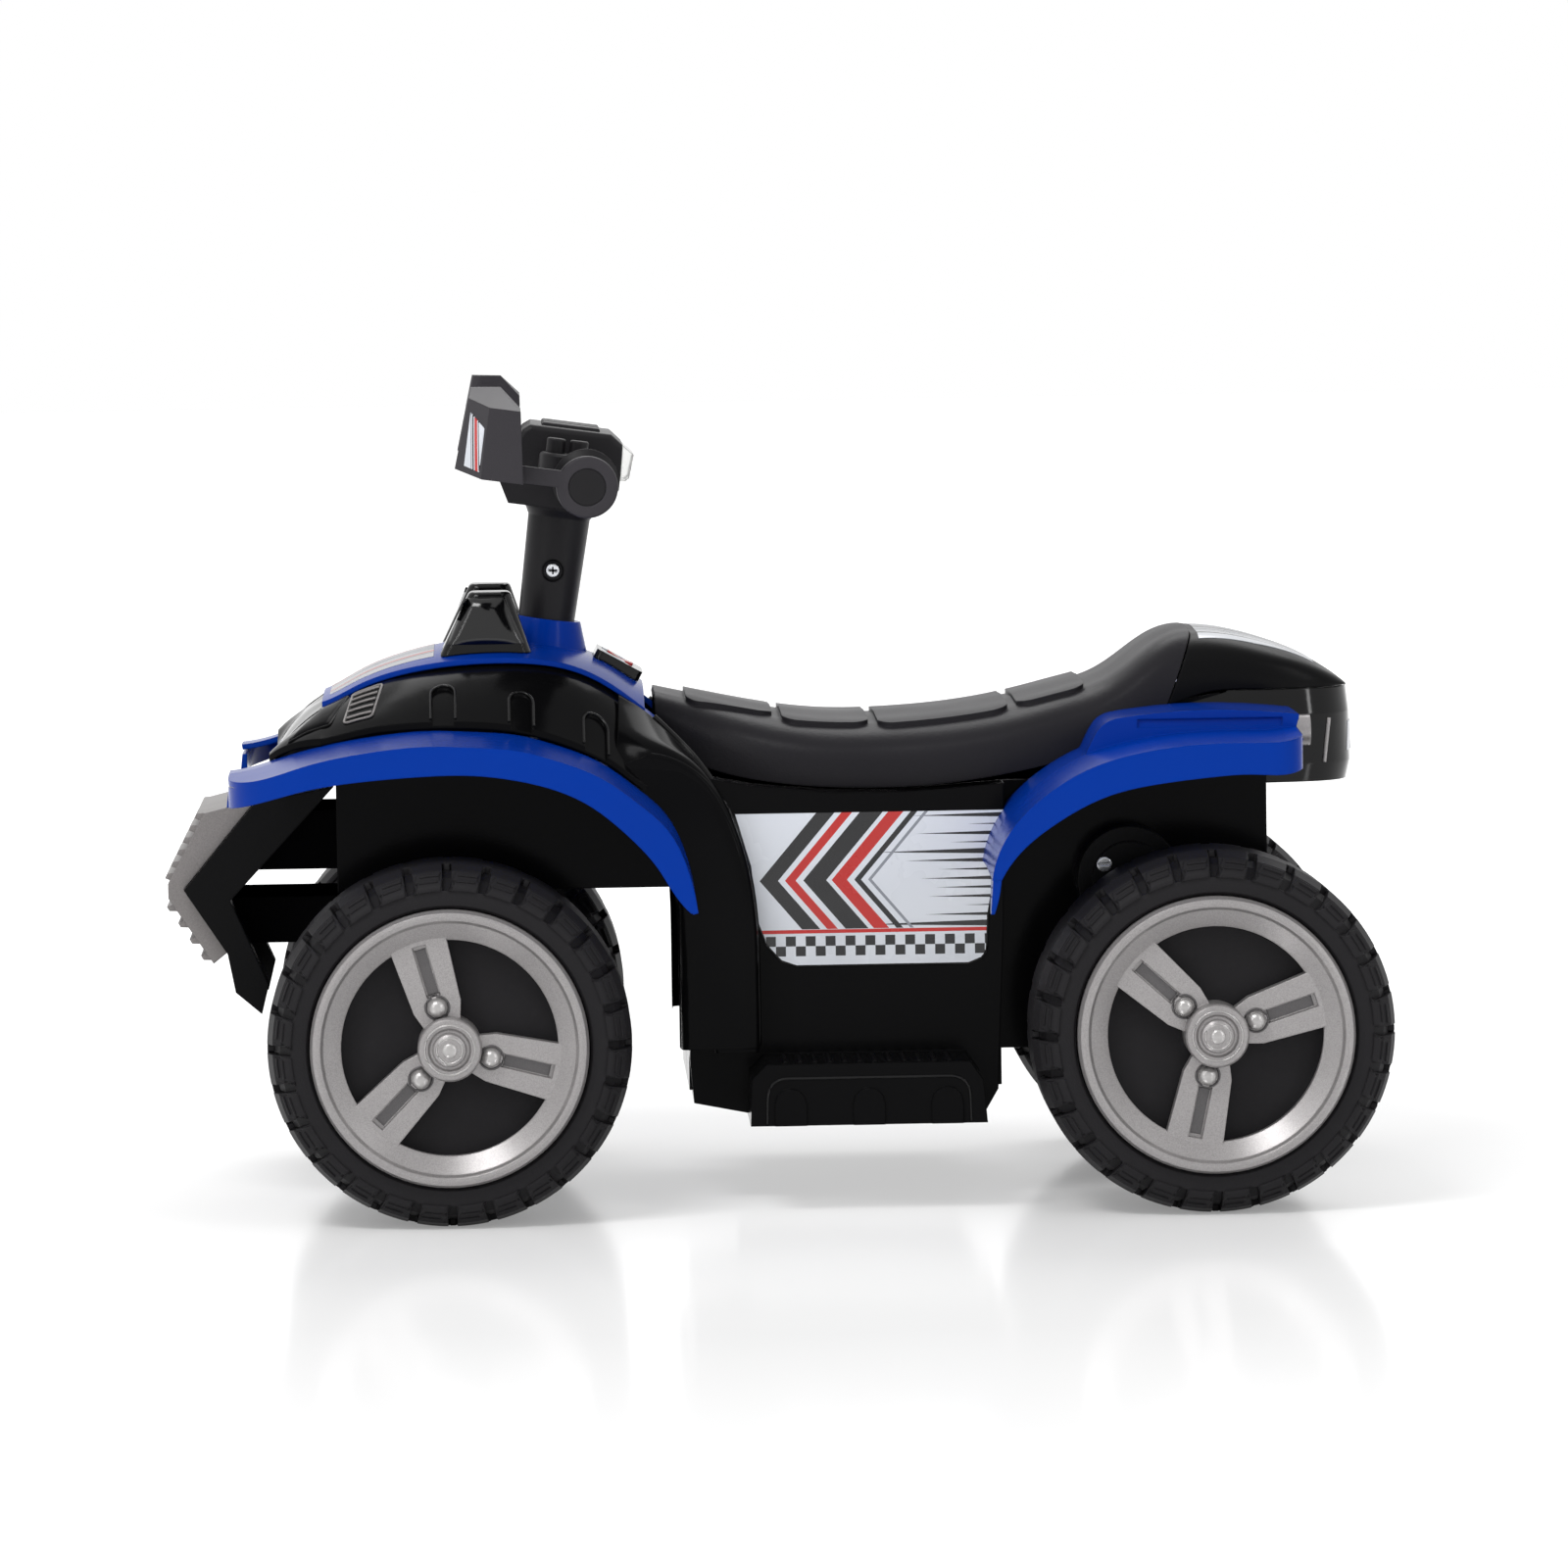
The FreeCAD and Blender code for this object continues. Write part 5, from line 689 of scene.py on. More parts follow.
class Mesh:
    """Ways to turn arrays of places into finished objects."""

    TIP_SHARE = 0.02

    @staticmethod
    def weld(name: str, places: Array, faces: Array, finish: Finish, body: str, prints: Array | None = None,
             crease: float = 40.0) -> bpy.types.Object:
        """Makes an object of places and four-cornered faces that rides on a body.

        Args:
            name: the piece's name.
            places: corner places, one row each.
            faces: four corner numbers per row.
            finish: the piece's finish.
            body: the body it rides on.
            prints: print map, one pair per corner place.
            crease: angle in degrees above which an edge stays sharp.

        Returns:
            The object.
        """
        mesh = bpy.data.meshes.new(name)
        mesh.from_pydata(places.reshape(-1, 3).tolist(), [], faces.reshape(-1, 4).tolist())
        if prints is not None:
            corners = np.empty(len(mesh.loops), dtype=np.int32)
            mesh.loops.foreach_get("vertex_index", corners)
            mesh.uv_layers.new(name="print").data.foreach_set("uv", prints.reshape(-1, 2)[corners].ravel())
        form = bmesh.new()
        form.from_mesh(mesh)
        bmesh.ops.remove_doubles(form, verts=form.verts, dist=1e-7)
        bmesh.ops.recalc_face_normals(form, faces=form.faces)
        form.to_mesh(mesh)
        form.free()
        mesh.shade_smooth()
        mesh.set_sharp_from_angle(angle=math.radians(crease))
        thing = bpy.data.objects.new(name, mesh)
        bpy.context.scene.collection.objects.link(thing)
        finish.dress(thing)
        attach(thing, body)
        LOG.info("%s: %d faces on %s", name, len(mesh.polygons), body)
        return thing

    @staticmethod
    def quads(rows: int, columns: int, wrap_rows: bool = False, wrap_columns: bool = False) -> Array:
        """Corner numbers of the faces of a grid.

        Args:
            rows: count of rows.
            columns: count of columns.
            wrap_rows: whether the last row meets the first.
            wrap_columns: whether the last column meets the first.

        Returns:
            Four corner numbers per face.
        """
        row, column = np.meshgrid(np.arange(rows - (not wrap_rows)),
                                  np.arange(columns - (not wrap_columns)), indexing="ij")
        below, beside = (row + 1) % rows, (column + 1) % columns
        corners = (row * columns + column, below * columns + column, below * columns + beside,
                   row * columns + beside)
        return np.stack(corners, axis=-1).reshape(-1, 4)

    @staticmethod
    def copies(faces: Array, size: int, many: int) -> Array:
        """Corner numbers of several copies of a form.

        Args:
            faces: corner numbers of the first copy.
            size: count of its corners.
            many: count of copies.

        Returns:
            The corner numbers of all copies.
        """
        return faces[None] + size * np.arange(many)[:, None, None]

    @classmethod
    def sheet(cls, name: str, top: Array, foot: Array, finish: Finish, body: str,
              maps: Array | None = None) -> bpy.types.Object:
        """Closed thin sheet between two grids, with the print map along the grid.

        Args:
            name: the piece's name.
            top: outer grid of places, or several of one shape stacked in front.
            foot: inner grid of the same shape.
            finish: its finish.
            body: the body it rides on.
            maps: print map on the grid, where it doesn't run from 0 to 1 along both ways.

        Returns:
            The object.
        """
        top, foot = (layer if layer.ndim == 4 else layer[None] for layer in (top, foot))
        many, rows, columns = top.shape[:3]
        count = rows * columns
        number = np.arange(count).reshape(rows, columns)
        ring = np.concatenate([number[0, :-1], number[:-1, -1], number[-1, :0:-1], number[:0:-1, 0]])
        after = np.roll(ring, -1)
        side = np.stack([ring, after, after + count, ring + count], axis=-1)
        face = cls.quads(rows, columns)
        faces = cls.copies(np.concatenate([face, face[:, ::-1] + count, side]), 2 * count, many)
        if maps is None:
            maps = np.stack(grid(rows, columns), axis=-1)
        maps = np.tile(maps.reshape(-1, 2), (2 * many, 1))
        places = np.concatenate([top.reshape(many, -1, 3), foot.reshape(many, -1, 3)], axis=1)
        return cls.weld(name, places, faces, finish, body, maps)

    @classmethod
    def tube(cls, name: str, path: Array, radius: float, finish: Finish, body: str, loop: bool = False,
             squeeze: float = 1.0, sides: int = 10) -> bpy.types.Object:
        """Round bead carried along a path: place + radius * (cos t * across + squeeze * sin t * up).

        Args:
            name: the piece's name.
            path: points along the bead, or several paths of one length stacked in front.
            radius: the bead's radius.
            finish: its finish.
            body: the body it rides on.
            loop: whether the path closes on itself.
            squeeze: height of the bead as a share of its width.
            sides: faces round the bead.

        Returns:
            The object.
        """
        paths = path if path.ndim == 3 else path[None]
        many, points = paths.shape[:2]
        if loop:
            run = np.roll(paths, -1, axis=1) - np.roll(paths, 1, axis=1)
        else:
            run = np.gradient(paths, axis=1)
        run /= np.linalg.norm(run, axis=-1, keepdims=True)
        guide = np.where(np.abs(run[..., 2:]) > 0.9, np.array([0.0, 1.0, 0.0]), np.array([0.0, 0.0, 1.0]))
        across = np.cross(run, guide)
        across /= np.linalg.norm(across, axis=-1, keepdims=True)
        up = np.cross(across, run)
        turn = np.linspace(0, 2 * math.pi, sides, endpoint=False)[:, None]
        ring = np.cos(turn) * across[:, :, None] + squeeze * np.sin(turn) * up[:, :, None]
        size = np.full(points, radius)
        if not loop:
            paths = np.concatenate([paths[:, :1], paths, paths[:, -1:]], axis=1)
            ring = np.concatenate([ring[:, :1], ring, ring[:, -1:]], axis=1)
            tip = [radius * cls.TIP_SHARE]
            size = np.concatenate([tip, size, tip])
            points += 2
        places = paths[:, :, None] + size[None, :, None, None] * ring
        faces = cls.copies(cls.quads(points, sides, loop, True), points * sides, many)
        return cls.weld(name, places, faces, finish, body)

    @classmethod
    def blocks(cls, name: str, foot: Array, top: Array, finish: Finish, body: str) -> bpy.types.Object:
        """Many small closed blocks, each between four foot corners and four top corners.

        Args:
            name: the piece's name.
            foot: block, corner and coordinate of the feet.
            top: the same of the tops.
            finish: their finish.
            body: the body they ride on.

        Returns:
            The object.
        """
        block = np.array([(0, 1, 5, 4), (1, 2, 6, 5), (2, 3, 7, 6), (3, 0, 4, 7), (4, 5, 6, 7),
                          (3, 2, 1, 0)])
        faces = cls.copies(block, 8, len(foot))
        return cls.weld(name, np.concatenate([foot, top], axis=1), faces, finish, body)


def grid(rows: int, columns: int) -> tuple[Array, Array]:
    """Two parameters from 0 to 1 on a grid.

    Args:
        rows: count along the first.
        columns: count along the second.

    Returns:
        Both parameters as arrays of rows by columns.
    """
    return tuple(np.meshgrid(np.linspace(0, 1, rows), np.linspace(0, 1, columns), indexing="ij"))


def between(start: object, end: object, t: Array) -> Array:
    """Values from start at t = 0 to end at t = 1: start + t (end - start)."""
    return start + t * (end - start)


def upright(x: Array, y: float, z: Array) -> Array:
    """Places on an upright plane along the bike, all at one Y."""
    return np.stack([x, np.full_like(x, y), z], axis=-1)


def circle(points: int) -> Array:
    """Points round a circle of radius 1: (cos t, sin t)."""
    turn = np.linspace(0, 2 * math.pi, points, endpoint=False)
    return np.stack([np.cos(turn), np.sin(turn)], axis=-1)


def soft_step(value: Array, ease: float = 0.22) -> Array:
    """Ramp from 0 to 1 whose ends are rounded by parabolas over the given ease."""
    share = np.clip(value, -ease, 1 + ease)
    low = np.where(share < ease, (share + ease) ** 2 / (4 * ease), share)
    return np.where(share > 1 - ease, 1 - (1 + ease - share) ** 2 / (4 * ease), low)


def corner_blend(corners: Array, u: Array, v: Array) -> Array:
    """Places between four corners: (1-u)(1-v) a + u (1-v) b + u v c + (1-u) v d.

    Args:
        corners: corners a, b, c and d, one row each.
        u: first parameter.
        v: second parameter.

    Returns:
        The places, with the corner's coordinates last.
    """
    a, b, c, d = corners
    u, v = u[..., None], v[..., None]
    return (1 - u) * (1 - v) * a + u * (1 - v) * b + u * v * c + (1 - u) * v * d


def ledge(t: Array, power: int = 10) -> Array:
    """Flat top with rounded ends: 1 - (2t - 1)^power."""
    return 1 - (2 * t - 1) ** power


def rounded_run(points: Array, radius: float, steps: int = 8) -> Array:
    """Open run of straight lines with each corner replaced by a curve a(1-t)^2 + 2bt(1-t) + ct^2.

    Args:
        points: the run's corners, one row each.
        radius: how far before and after a corner the curve starts and ends.
        steps: points along each curve.

    Returns:
        The run's points.
    """
    before = points[1:-1] - points[:-2]
    after = points[2:] - points[1:-1]
    start = points[1:-1] - radius * before / np.linalg.norm(before, axis=1, keepdims=True)
    end = points[1:-1] + radius * after / np.linalg.norm(after, axis=1, keepdims=True)
    t = np.linspace(0, 1, steps)[:, None]
    curves = start[:, None] * (1 - t) ** 2 + 2 * points[1:-1, None] * t * (1 - t) + end[:, None] * t ** 2
    return np.concatenate([points[:1], curves.reshape(-1, points.shape[1]), points[-1:]])


@dataclass
class SideFilms:
    """Printed film on each side of the tub, in a beaded frame."""

    plane: float = 0.098
    low: float = 0.1285
    high: float = 0.2115
    film: Pair = (0.0003, -0.0001)
    bead: float = 0.0007
    front_edge: Array = field(default_factory=lambda: np.array([
        (0.1285, 0.0125), (0.1315, 0.004), (0.14, -0.0035), (0.153, -0.0085), (0.183, -0.0118),
        (0.212, -0.0202)]))
    rear_edge: Array = field(default_factory=lambda: np.array([
        (0.1285, 0.1055), (0.1305, 0.112), (0.135, 0.1155), (0.154, 0.1165), (0.18, 0.121),
        (0.212, 0.1292)]))

    def edges(self, z: Array) -> tuple[Array, Array]:
        """Front and rear end of the film at a height.

        Args:
            z: heights.

        Returns:
            X of both ends.
        """
        return np.interp(z, *self.front_edge.T), np.interp(z, *self.rear_edge.T)

    def build(self) -> None:
        """Film between both edges and both heights, with a bead along its lower three sides."""
        u, v = grid(40, 40)
        z = between(self.low, self.high, v)
        x = between(*self.edges(z), u)
        maps = np.stack([(x - x.min()) / (x.max() - x.min()), v], axis=-1)
        level = np.linspace(self.high, self.low, 30)
        front, rear = (np.stack([edge, level], axis=-1) for edge in self.edges(level))
        path = np.concatenate([front, rear[::-1]])
        for side in Side:
            layers = [upright(x, side.value * (self.plane + out), z) for out in self.film]
            Mesh.sheet(f"side_film_{side.label}", *layers, Finish.SIDE_PRINT, CHASSIS, maps)
            frame_path = upright(path[:, 0], side.value * self.plane, path[:, 1])
            Mesh.tube(f"side_film_frame_{side.label}", frame_path, self.bead, Finish.BLACK_GLOSS, CHASSIS,
                      sides=8)


@dataclass
class TopFilm:
    """Printed film laid on a skin from above, mirrored about the middle of the bike."""

    name: str
    node: str
    finish: Finish
    half_widths: Corners

    def build(self) -> None:
        """Film as y = (2v - 1) w(x), with z read off the skin."""
        x_of, w_of = np.array(self.half_widths).T
        u, v = grid(36, 36)
        x = between(x_of[0], x_of[-1], u)
        y = (2 * v - 1) * np.interp(x, x_of, w_of)
        layers = Skin(self.node).drape(Axis.Z, 1, np.stack([x, y], axis=-1), *FILM)
        Mesh.sheet(self.name, *layers, self.finish, CHASSIS)


@dataclass
class LampPanels:
    """Smoked lens across the cowl's nose, two lamps and a bridge, with a louvred vent behind each lamp."""

    lens: Corners = ((-0.2600, 0.106), (-0.2372, 0.109), (-0.2270, 0.070), (-0.2392, 0.067))
    vent: Corners = ((-0.2295, 0.112), (-0.2140, 0.112), (-0.2085, 0.077), (-0.2246, 0.074))
    bridge: Corners = ((-0.2655, -0.066), (-0.2400, -0.066), (-0.2400, 0.066), (-0.2655, 0.066))
    bridge_lift: float = 0.0004
    edge_lift: float = 0.0003
    crown: float = 0.0011
    sink: float = 0.0004
    rim_turn: float = 0.003
    rim_bead: float = 0.0007
    vent_rim_lift: float = 0.0005
    louvres: int = 5
    louvre_lift: float = 0.0007
    louvre_bead: float = 0.0011

    def lay(self, skin: Skin, flat: Array, side: Side, *lifts: object) -> list[Array]:
        """Lays flat places on the cowl.

        Args:
            skin: the cowl's skin.
            flat: X and distance from the middle.
            side: the side of the bike.
            lifts: heights above the skin, a number or an array each.

        Returns:
            One array of places per lift.
        """
        return skin.drape(Axis.Z, 1, flat * np.array([1, side.value]), *lifts)

    def rim(self, corners: Corners) -> Array:
        """Closed path along four corners with rounded turns.

        Args:
            corners: the corners.

        Returns:
            The path's points.
        """
        points = np.array(corners)
        middle = (points[:1] + points[1:2]) / 2
        run = rounded_run(np.concatenate([middle, points[1:], points[:1], middle]), self.rim_turn)
        return run[:-1]

    def build(self) -> None:
        """Lens lifted by edge + crown ledge(u) ledge(v); vent as a dark sheet with grey bars as painted
        highlights and a grey rim.
        """
        skin = Skin("front_cowl")
        u, v = grid(22, 22)
        bars_u, bars_v = np.meshgrid(np.linspace(0.06, 0.94, 12), np.linspace(0.12, 0.88, self.louvres))
        bars = corner_blend(np.array(self.vent), bars_u, bars_v)
        panes = (self.lens, self.vent, self.bridge)
        glass, back, middle = (corner_blend(np.array(corners), u, v) for corners in panes)
        crown = self.edge_lift + self.crown * ledge(u) * ledge(v)
        layers = self.lay(skin, middle, Side.RIGHT, self.bridge_lift, -self.sink)
        Mesh.sheet("headlight_bridge", *layers, Finish.LENS, CHASSIS)
        for side in Side:
            layers = self.lay(skin, glass, side, crown, -self.sink)
            Mesh.sheet(f"headlight_lens_{side.label}", *layers, Finish.LENS, CHASSIS)
            rim = self.lay(skin, self.rim(self.lens), side, self.edge_lift)[0]
            Mesh.tube(f"headlight_rim_{side.label}", rim, self.rim_bead, Finish.BLACK_SATIN, CHASSIS,
                      loop=True, sides=8)
            layers = self.lay(skin, back, side, self.edge_lift, -self.sink)
            Mesh.sheet(f"vent_back_{side.label}", *layers, Finish.BLACK_SATIN, CHASSIS)
            # Grey beads along the black louvres: painted highlights on their top edges.
            louvres = self.lay(skin, bars, side, self.louvre_lift)[0]
            Mesh.tube(f"vent_louvre_highlights_{side.label}", louvres, self.louvre_bead, Finish.GRILLE, CHASSIS,
                      squeeze=0.7)
            rim = self.lay(skin, self.rim(self.vent), side, self.vent_rim_lift)[0]
            Mesh.tube(f"vent_rim_{side.label}", rim, self.rim_bead, Finish.GRILLE, CHASSIS, loop=True)


@dataclass
class LegFairings:
    """Smooth black fairing that carries the cowl's flank down into the leg, with a bead along its rim."""

    inner: Array = field(default_factory=lambda: np.array([
        (-81, 75.4, 277.5), (-66, 76.4, 267), (-52, 80, 254), (-39, 88, 240), (-28.5, 95, 224.5),
        (-19.6, 98.7, 204.8), (-12.7, 98.7, 180), (-9.2, 98.7, 153), (-8.6, 98.7, 120),
        (-8.6, 98.7, 86)]) / 1000)
    crest: Array = field(default_factory=lambda: np.array([
        (-82, 104.6, 257.6), (-66, 113, 252), (-51.5, 116, 247), (-37.5, 117, 236.8), (-26.5, 117.8, 221.5),
        (-18.8, 118.2, 203.5), (-12.2, 118.3, 179.5), (-8.9, 118.3, 152.5), (-8.4, 118.3, 119.5),
        (-8.4, 118.3, 86)]) / 1000)
    outer: Array = field(default_factory=lambda: np.array([
        (-85, 119.2, 239.6), (-73, 120.4, 229), (-64, 120.3, 217), (-57, 120, 203), (-53, 119.6, 187),
        (-50.5, 119, 172), (-50, 118.6, 158), (-50, 118.3, 140), (-50, 118.3, 114),
        (-50, 118.3, 86)]) / 1000)
    front: Array = field(default_factory=lambda: np.array([
        (-85, 119.2, 233), (-74, 120.3, 222), (-66, 120, 209), (-59.5, 118, 197), (-56, 115, 182),
        (-53, 110, 168), (-52, 106, 155), (-51.5, 104, 138), (-51.5, 103, 113), (-51.5, 103, 86)]) / 1000)
    wall: float = 0.0014
    rows: int = 72
    columns: int = 40
    bead: float = 0.0016
    bead_start: int = 10

    def follow(self, points: Array) -> Array:
        """Smooth line through points: a cubic whose slope at each is half the step between its neighbours.

        Args:
            points: the points, one row each.

        Returns:
            Places along the line.
        """
        padded = np.concatenate([2 * points[:1] - points[1:2], points, 2 * points[-1:] - points[-2:-1]])
        q = np.linspace(0, len(points) - 1, self.rows)
        k = np.minimum(q.astype(int), len(points) - 2)
        f = (q - k)[:, None]
        a, b, c, d = (padded[k + n] for n in range(4))
        bend = 2 * a - 5 * b + 4 * c - d
        twist = 3 * b - a - 3 * c + d
        return 0.5 * (2 * b + (c - a) * f + bend * f ** 2 + twist * f ** 3)

    def build(self) -> None:
        """Section inner + (crest - inner) g + (outer - crest) h + (front - outer) k by soft steps."""
        lines = [self.follow(line)[:, None] for line in (self.inner, self.crest, self.outer, self.front)]
        t = np.linspace(0, 3, self.columns)
        steps = [soft_step(t - k)[:, None] for k in range(3)]
        moves = [(after - before) * step for before, after, step in zip(lines, lines[1:], steps)]
        places = lines[0] + sum(moves)
        centre = (lines[0] + lines[2]) / 2
        inward = centre - (lines[1] - centre) - places
        foot = places + self.wall * inward / np.linalg.norm(inward, axis=-1, keepdims=True)
        rim = lines[0][self.bead_start:, 0]
        for side in Side:
            layers = (places * side.mirror, foot * side.mirror)
            Mesh.sheet(f"leg_fairing_{side.label}", *layers, Finish.BLACK_TUB, CHASSIS)
            Mesh.tube(f"leg_bead_{side.label}", rim * side.mirror, self.bead, Finish.BLACK_GLOSS, CHASSIS)


@dataclass
class NoseSkirts:
    """Black skirt that closes the gap between the cowl's lower edge and the fender."""

    edge: Array = field(default_factory=lambda: np.array([
        (-269.3, 75, 243.6), (-269.2, 88, 245), (-266.6, 97, 247), (-256, 108.6, 252.6),
        (-243, 118.6, 255.6), (-222, 119.6, 259.8), (-198, 119.6, 262.6), (-175, 119.6, 263),
        (-150, 119.6, 261.6)]) / 1000)
    fall: Place = (0.0015, -0.0012, -0.0125)
    wall: float = 0.0012
    wall_way: Place = (0.7, -0.7, 0.0)

    def build(self) -> None:
        """Skirt as edge(u) + v fall, which leads a little inwards, with a thin wall."""
        u, v = grid(60, 6)
        run = np.linspace(0, 1, len(self.edge))
        line = np.stack([np.interp(u, run, column) for column in self.edge.T], axis=-1)
        places = line + v[..., None] * np.array(self.fall)
        foot = places + self.wall * np.array(self.wall_way)
        for side in Side:
            layers = (places * side.mirror, foot * side.mirror)
            Mesh.sheet(f"nose_skirt_{side.label}", *layers, Finish.BLACK_TUB, CHASSIS)


@dataclass
class FluteLips:
    """Rounded lip round each groove on the cowl's flanks."""

    grooves: Corners = ((-0.176, 0.092), (-0.134, 0.097), (-0.094, 0.098))
    half_width: float = 0.0066
    outer: float = 0.1185
    bead: float = 0.0008
    side_points: int = 9

    def outline(self, x: float, y: float) -> Array:
        """Two straight sides joined by a half circle.

        Args:
            x: the groove's middle.
            y: distance of its round end from the middle of the bike.

        Returns:
            X and distance from the middle of the bike along the lip.
        """
        half = self.half_width
        turn = np.linspace(0, math.pi, 15)
        straight = np.linspace(self.outer, y + half, self.side_points + 1)[:-1]
        front, rear = (np.full(self.side_points, x + way * half) for way in (-1, 1))
        run_x = np.concatenate([front, x - half * np.cos(turn), rear])
        run_y = np.concatenate([straight, y + half - half * np.sin(turn), straight[::-1]])
        return np.stack([run_x, run_y], axis=-1)

    def build(self) -> None:
        """Lays each lip on the cowl."""
        skin = Skin("front_cowl")
        for side in Side:
            flat = [self.outline(*groove) * np.array([1, side.value]) for groove in self.grooves]
            paths = np.concatenate([skin.drape(Axis.Z, 1, spots, 0.0) for spots in flat])
            Mesh.tube(f"flute_lips_{side.label}", paths, self.bead, Finish.BLACK_GLOSS, CHASSIS)


@dataclass
class PodCheeks:
    """Bulged outer cheek of each lamp pod."""

    front: Pair = (-0.1735, -0.1635)
    rear: Pair = (-0.1315, -0.1425)
    low: float = 0.3035
    high: float = 0.3285
    bulge: float = 0.0026
    lift: float = 0.0001
    sink: float = 0.0004

    def build(self) -> None:
        """Cheek between two leaning edges, off the pod's side by bulge (1 - (2u - 1)^2) ledge(v)."""
        skin = Skin("lamp_pods")
        u, v = grid(30, 24)
        x = between(between(*self.front, v), between(*self.rear, v), u)
        spots = np.stack([x, between(self.low, self.high, v)], axis=-1)
        swell = self.bulge * (1 - (2 * u - 1) ** 2) * ledge(v, 6)
        for side in Side:
            layers = skin.drape(Axis.Y, side.value, spots, swell + self.lift, -self.sink)
            Mesh.sheet(f"pod_cheek_{side.label}", *layers, Finish.PIANO, CHASSIS)


@dataclass
class FenderToes:
    """Tapered toe that ends the front edge of each rear fender."""

    length: float = 0.0185
    depth: float = 0.0045
    overlap: float = 0.0015
    inset: float = 0.0004
    lean: float = 0.0012
    probe: Pair = (0.0028, 0.0012)
    narrowing: float = 0.55
    drift: float = 0.2
    thinning: float = 0.6

    def build(self) -> None:
        """Toe as z = tip - u length, its width and its depth in x shrinking with u^2."""
        u, v = grid(18, 18)
        half = 0.5 * (1 - self.narrowing * u ** 2)
        for side in Side:
            label = side.label
            low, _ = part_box(f"rear_fender_{label}")
            spot = np.array([(low[0] + self.probe[0], low[2] + self.probe[1])])
            skin = Skin(f"rear_fender_{label}")
            out, inside = (skin.reach(Axis.Y, way * side.value, spot)[0] for way in (1, -1))
            y = 0.5 * (out + inside) + (out - inside) * ((2 * v - 1) * half + self.drift * u ** 2)
            z = low[2] + self.overlap - u * self.length
            front = low[0] + self.inset - self.lean * u
            rear = front + self.depth * (1 - self.thinning * u ** 2)
            layers = [np.stack([x, y, z], axis=-1) for x in (front, rear)]
            Mesh.sheet(f"fender_toe_{label}", *layers, Finish.BLUE, CHASSIS)


@dataclass
class TailCheeks:
    """Black infill that closes the wedge between seat, tail lid and rear fender."""

    front: float = 0.2155
    rear: float = 0.246
    half_width: float = 0.0668
    low: float = 0.2445
    top: float = 0.2655
    climb: float = 0.0055
    wall: float = 0.002

    def build(self) -> None:
        """Infill as x = front + u (rear - front), z = low + v (top + u climb - low), at one y."""
        u, v = grid(14, 10)
        x = between(self.front, self.rear, u)
        z = between(self.low, self.top + self.climb * u, v)
        for side in Side:
            layers = [upright(x, side.value * (self.half_width - inset), z) for inset in (0, self.wall)]
            Mesh.sheet(f"tail_cheek_{side.label}", *layers, Finish.BLACK_TUB, CHASSIS)


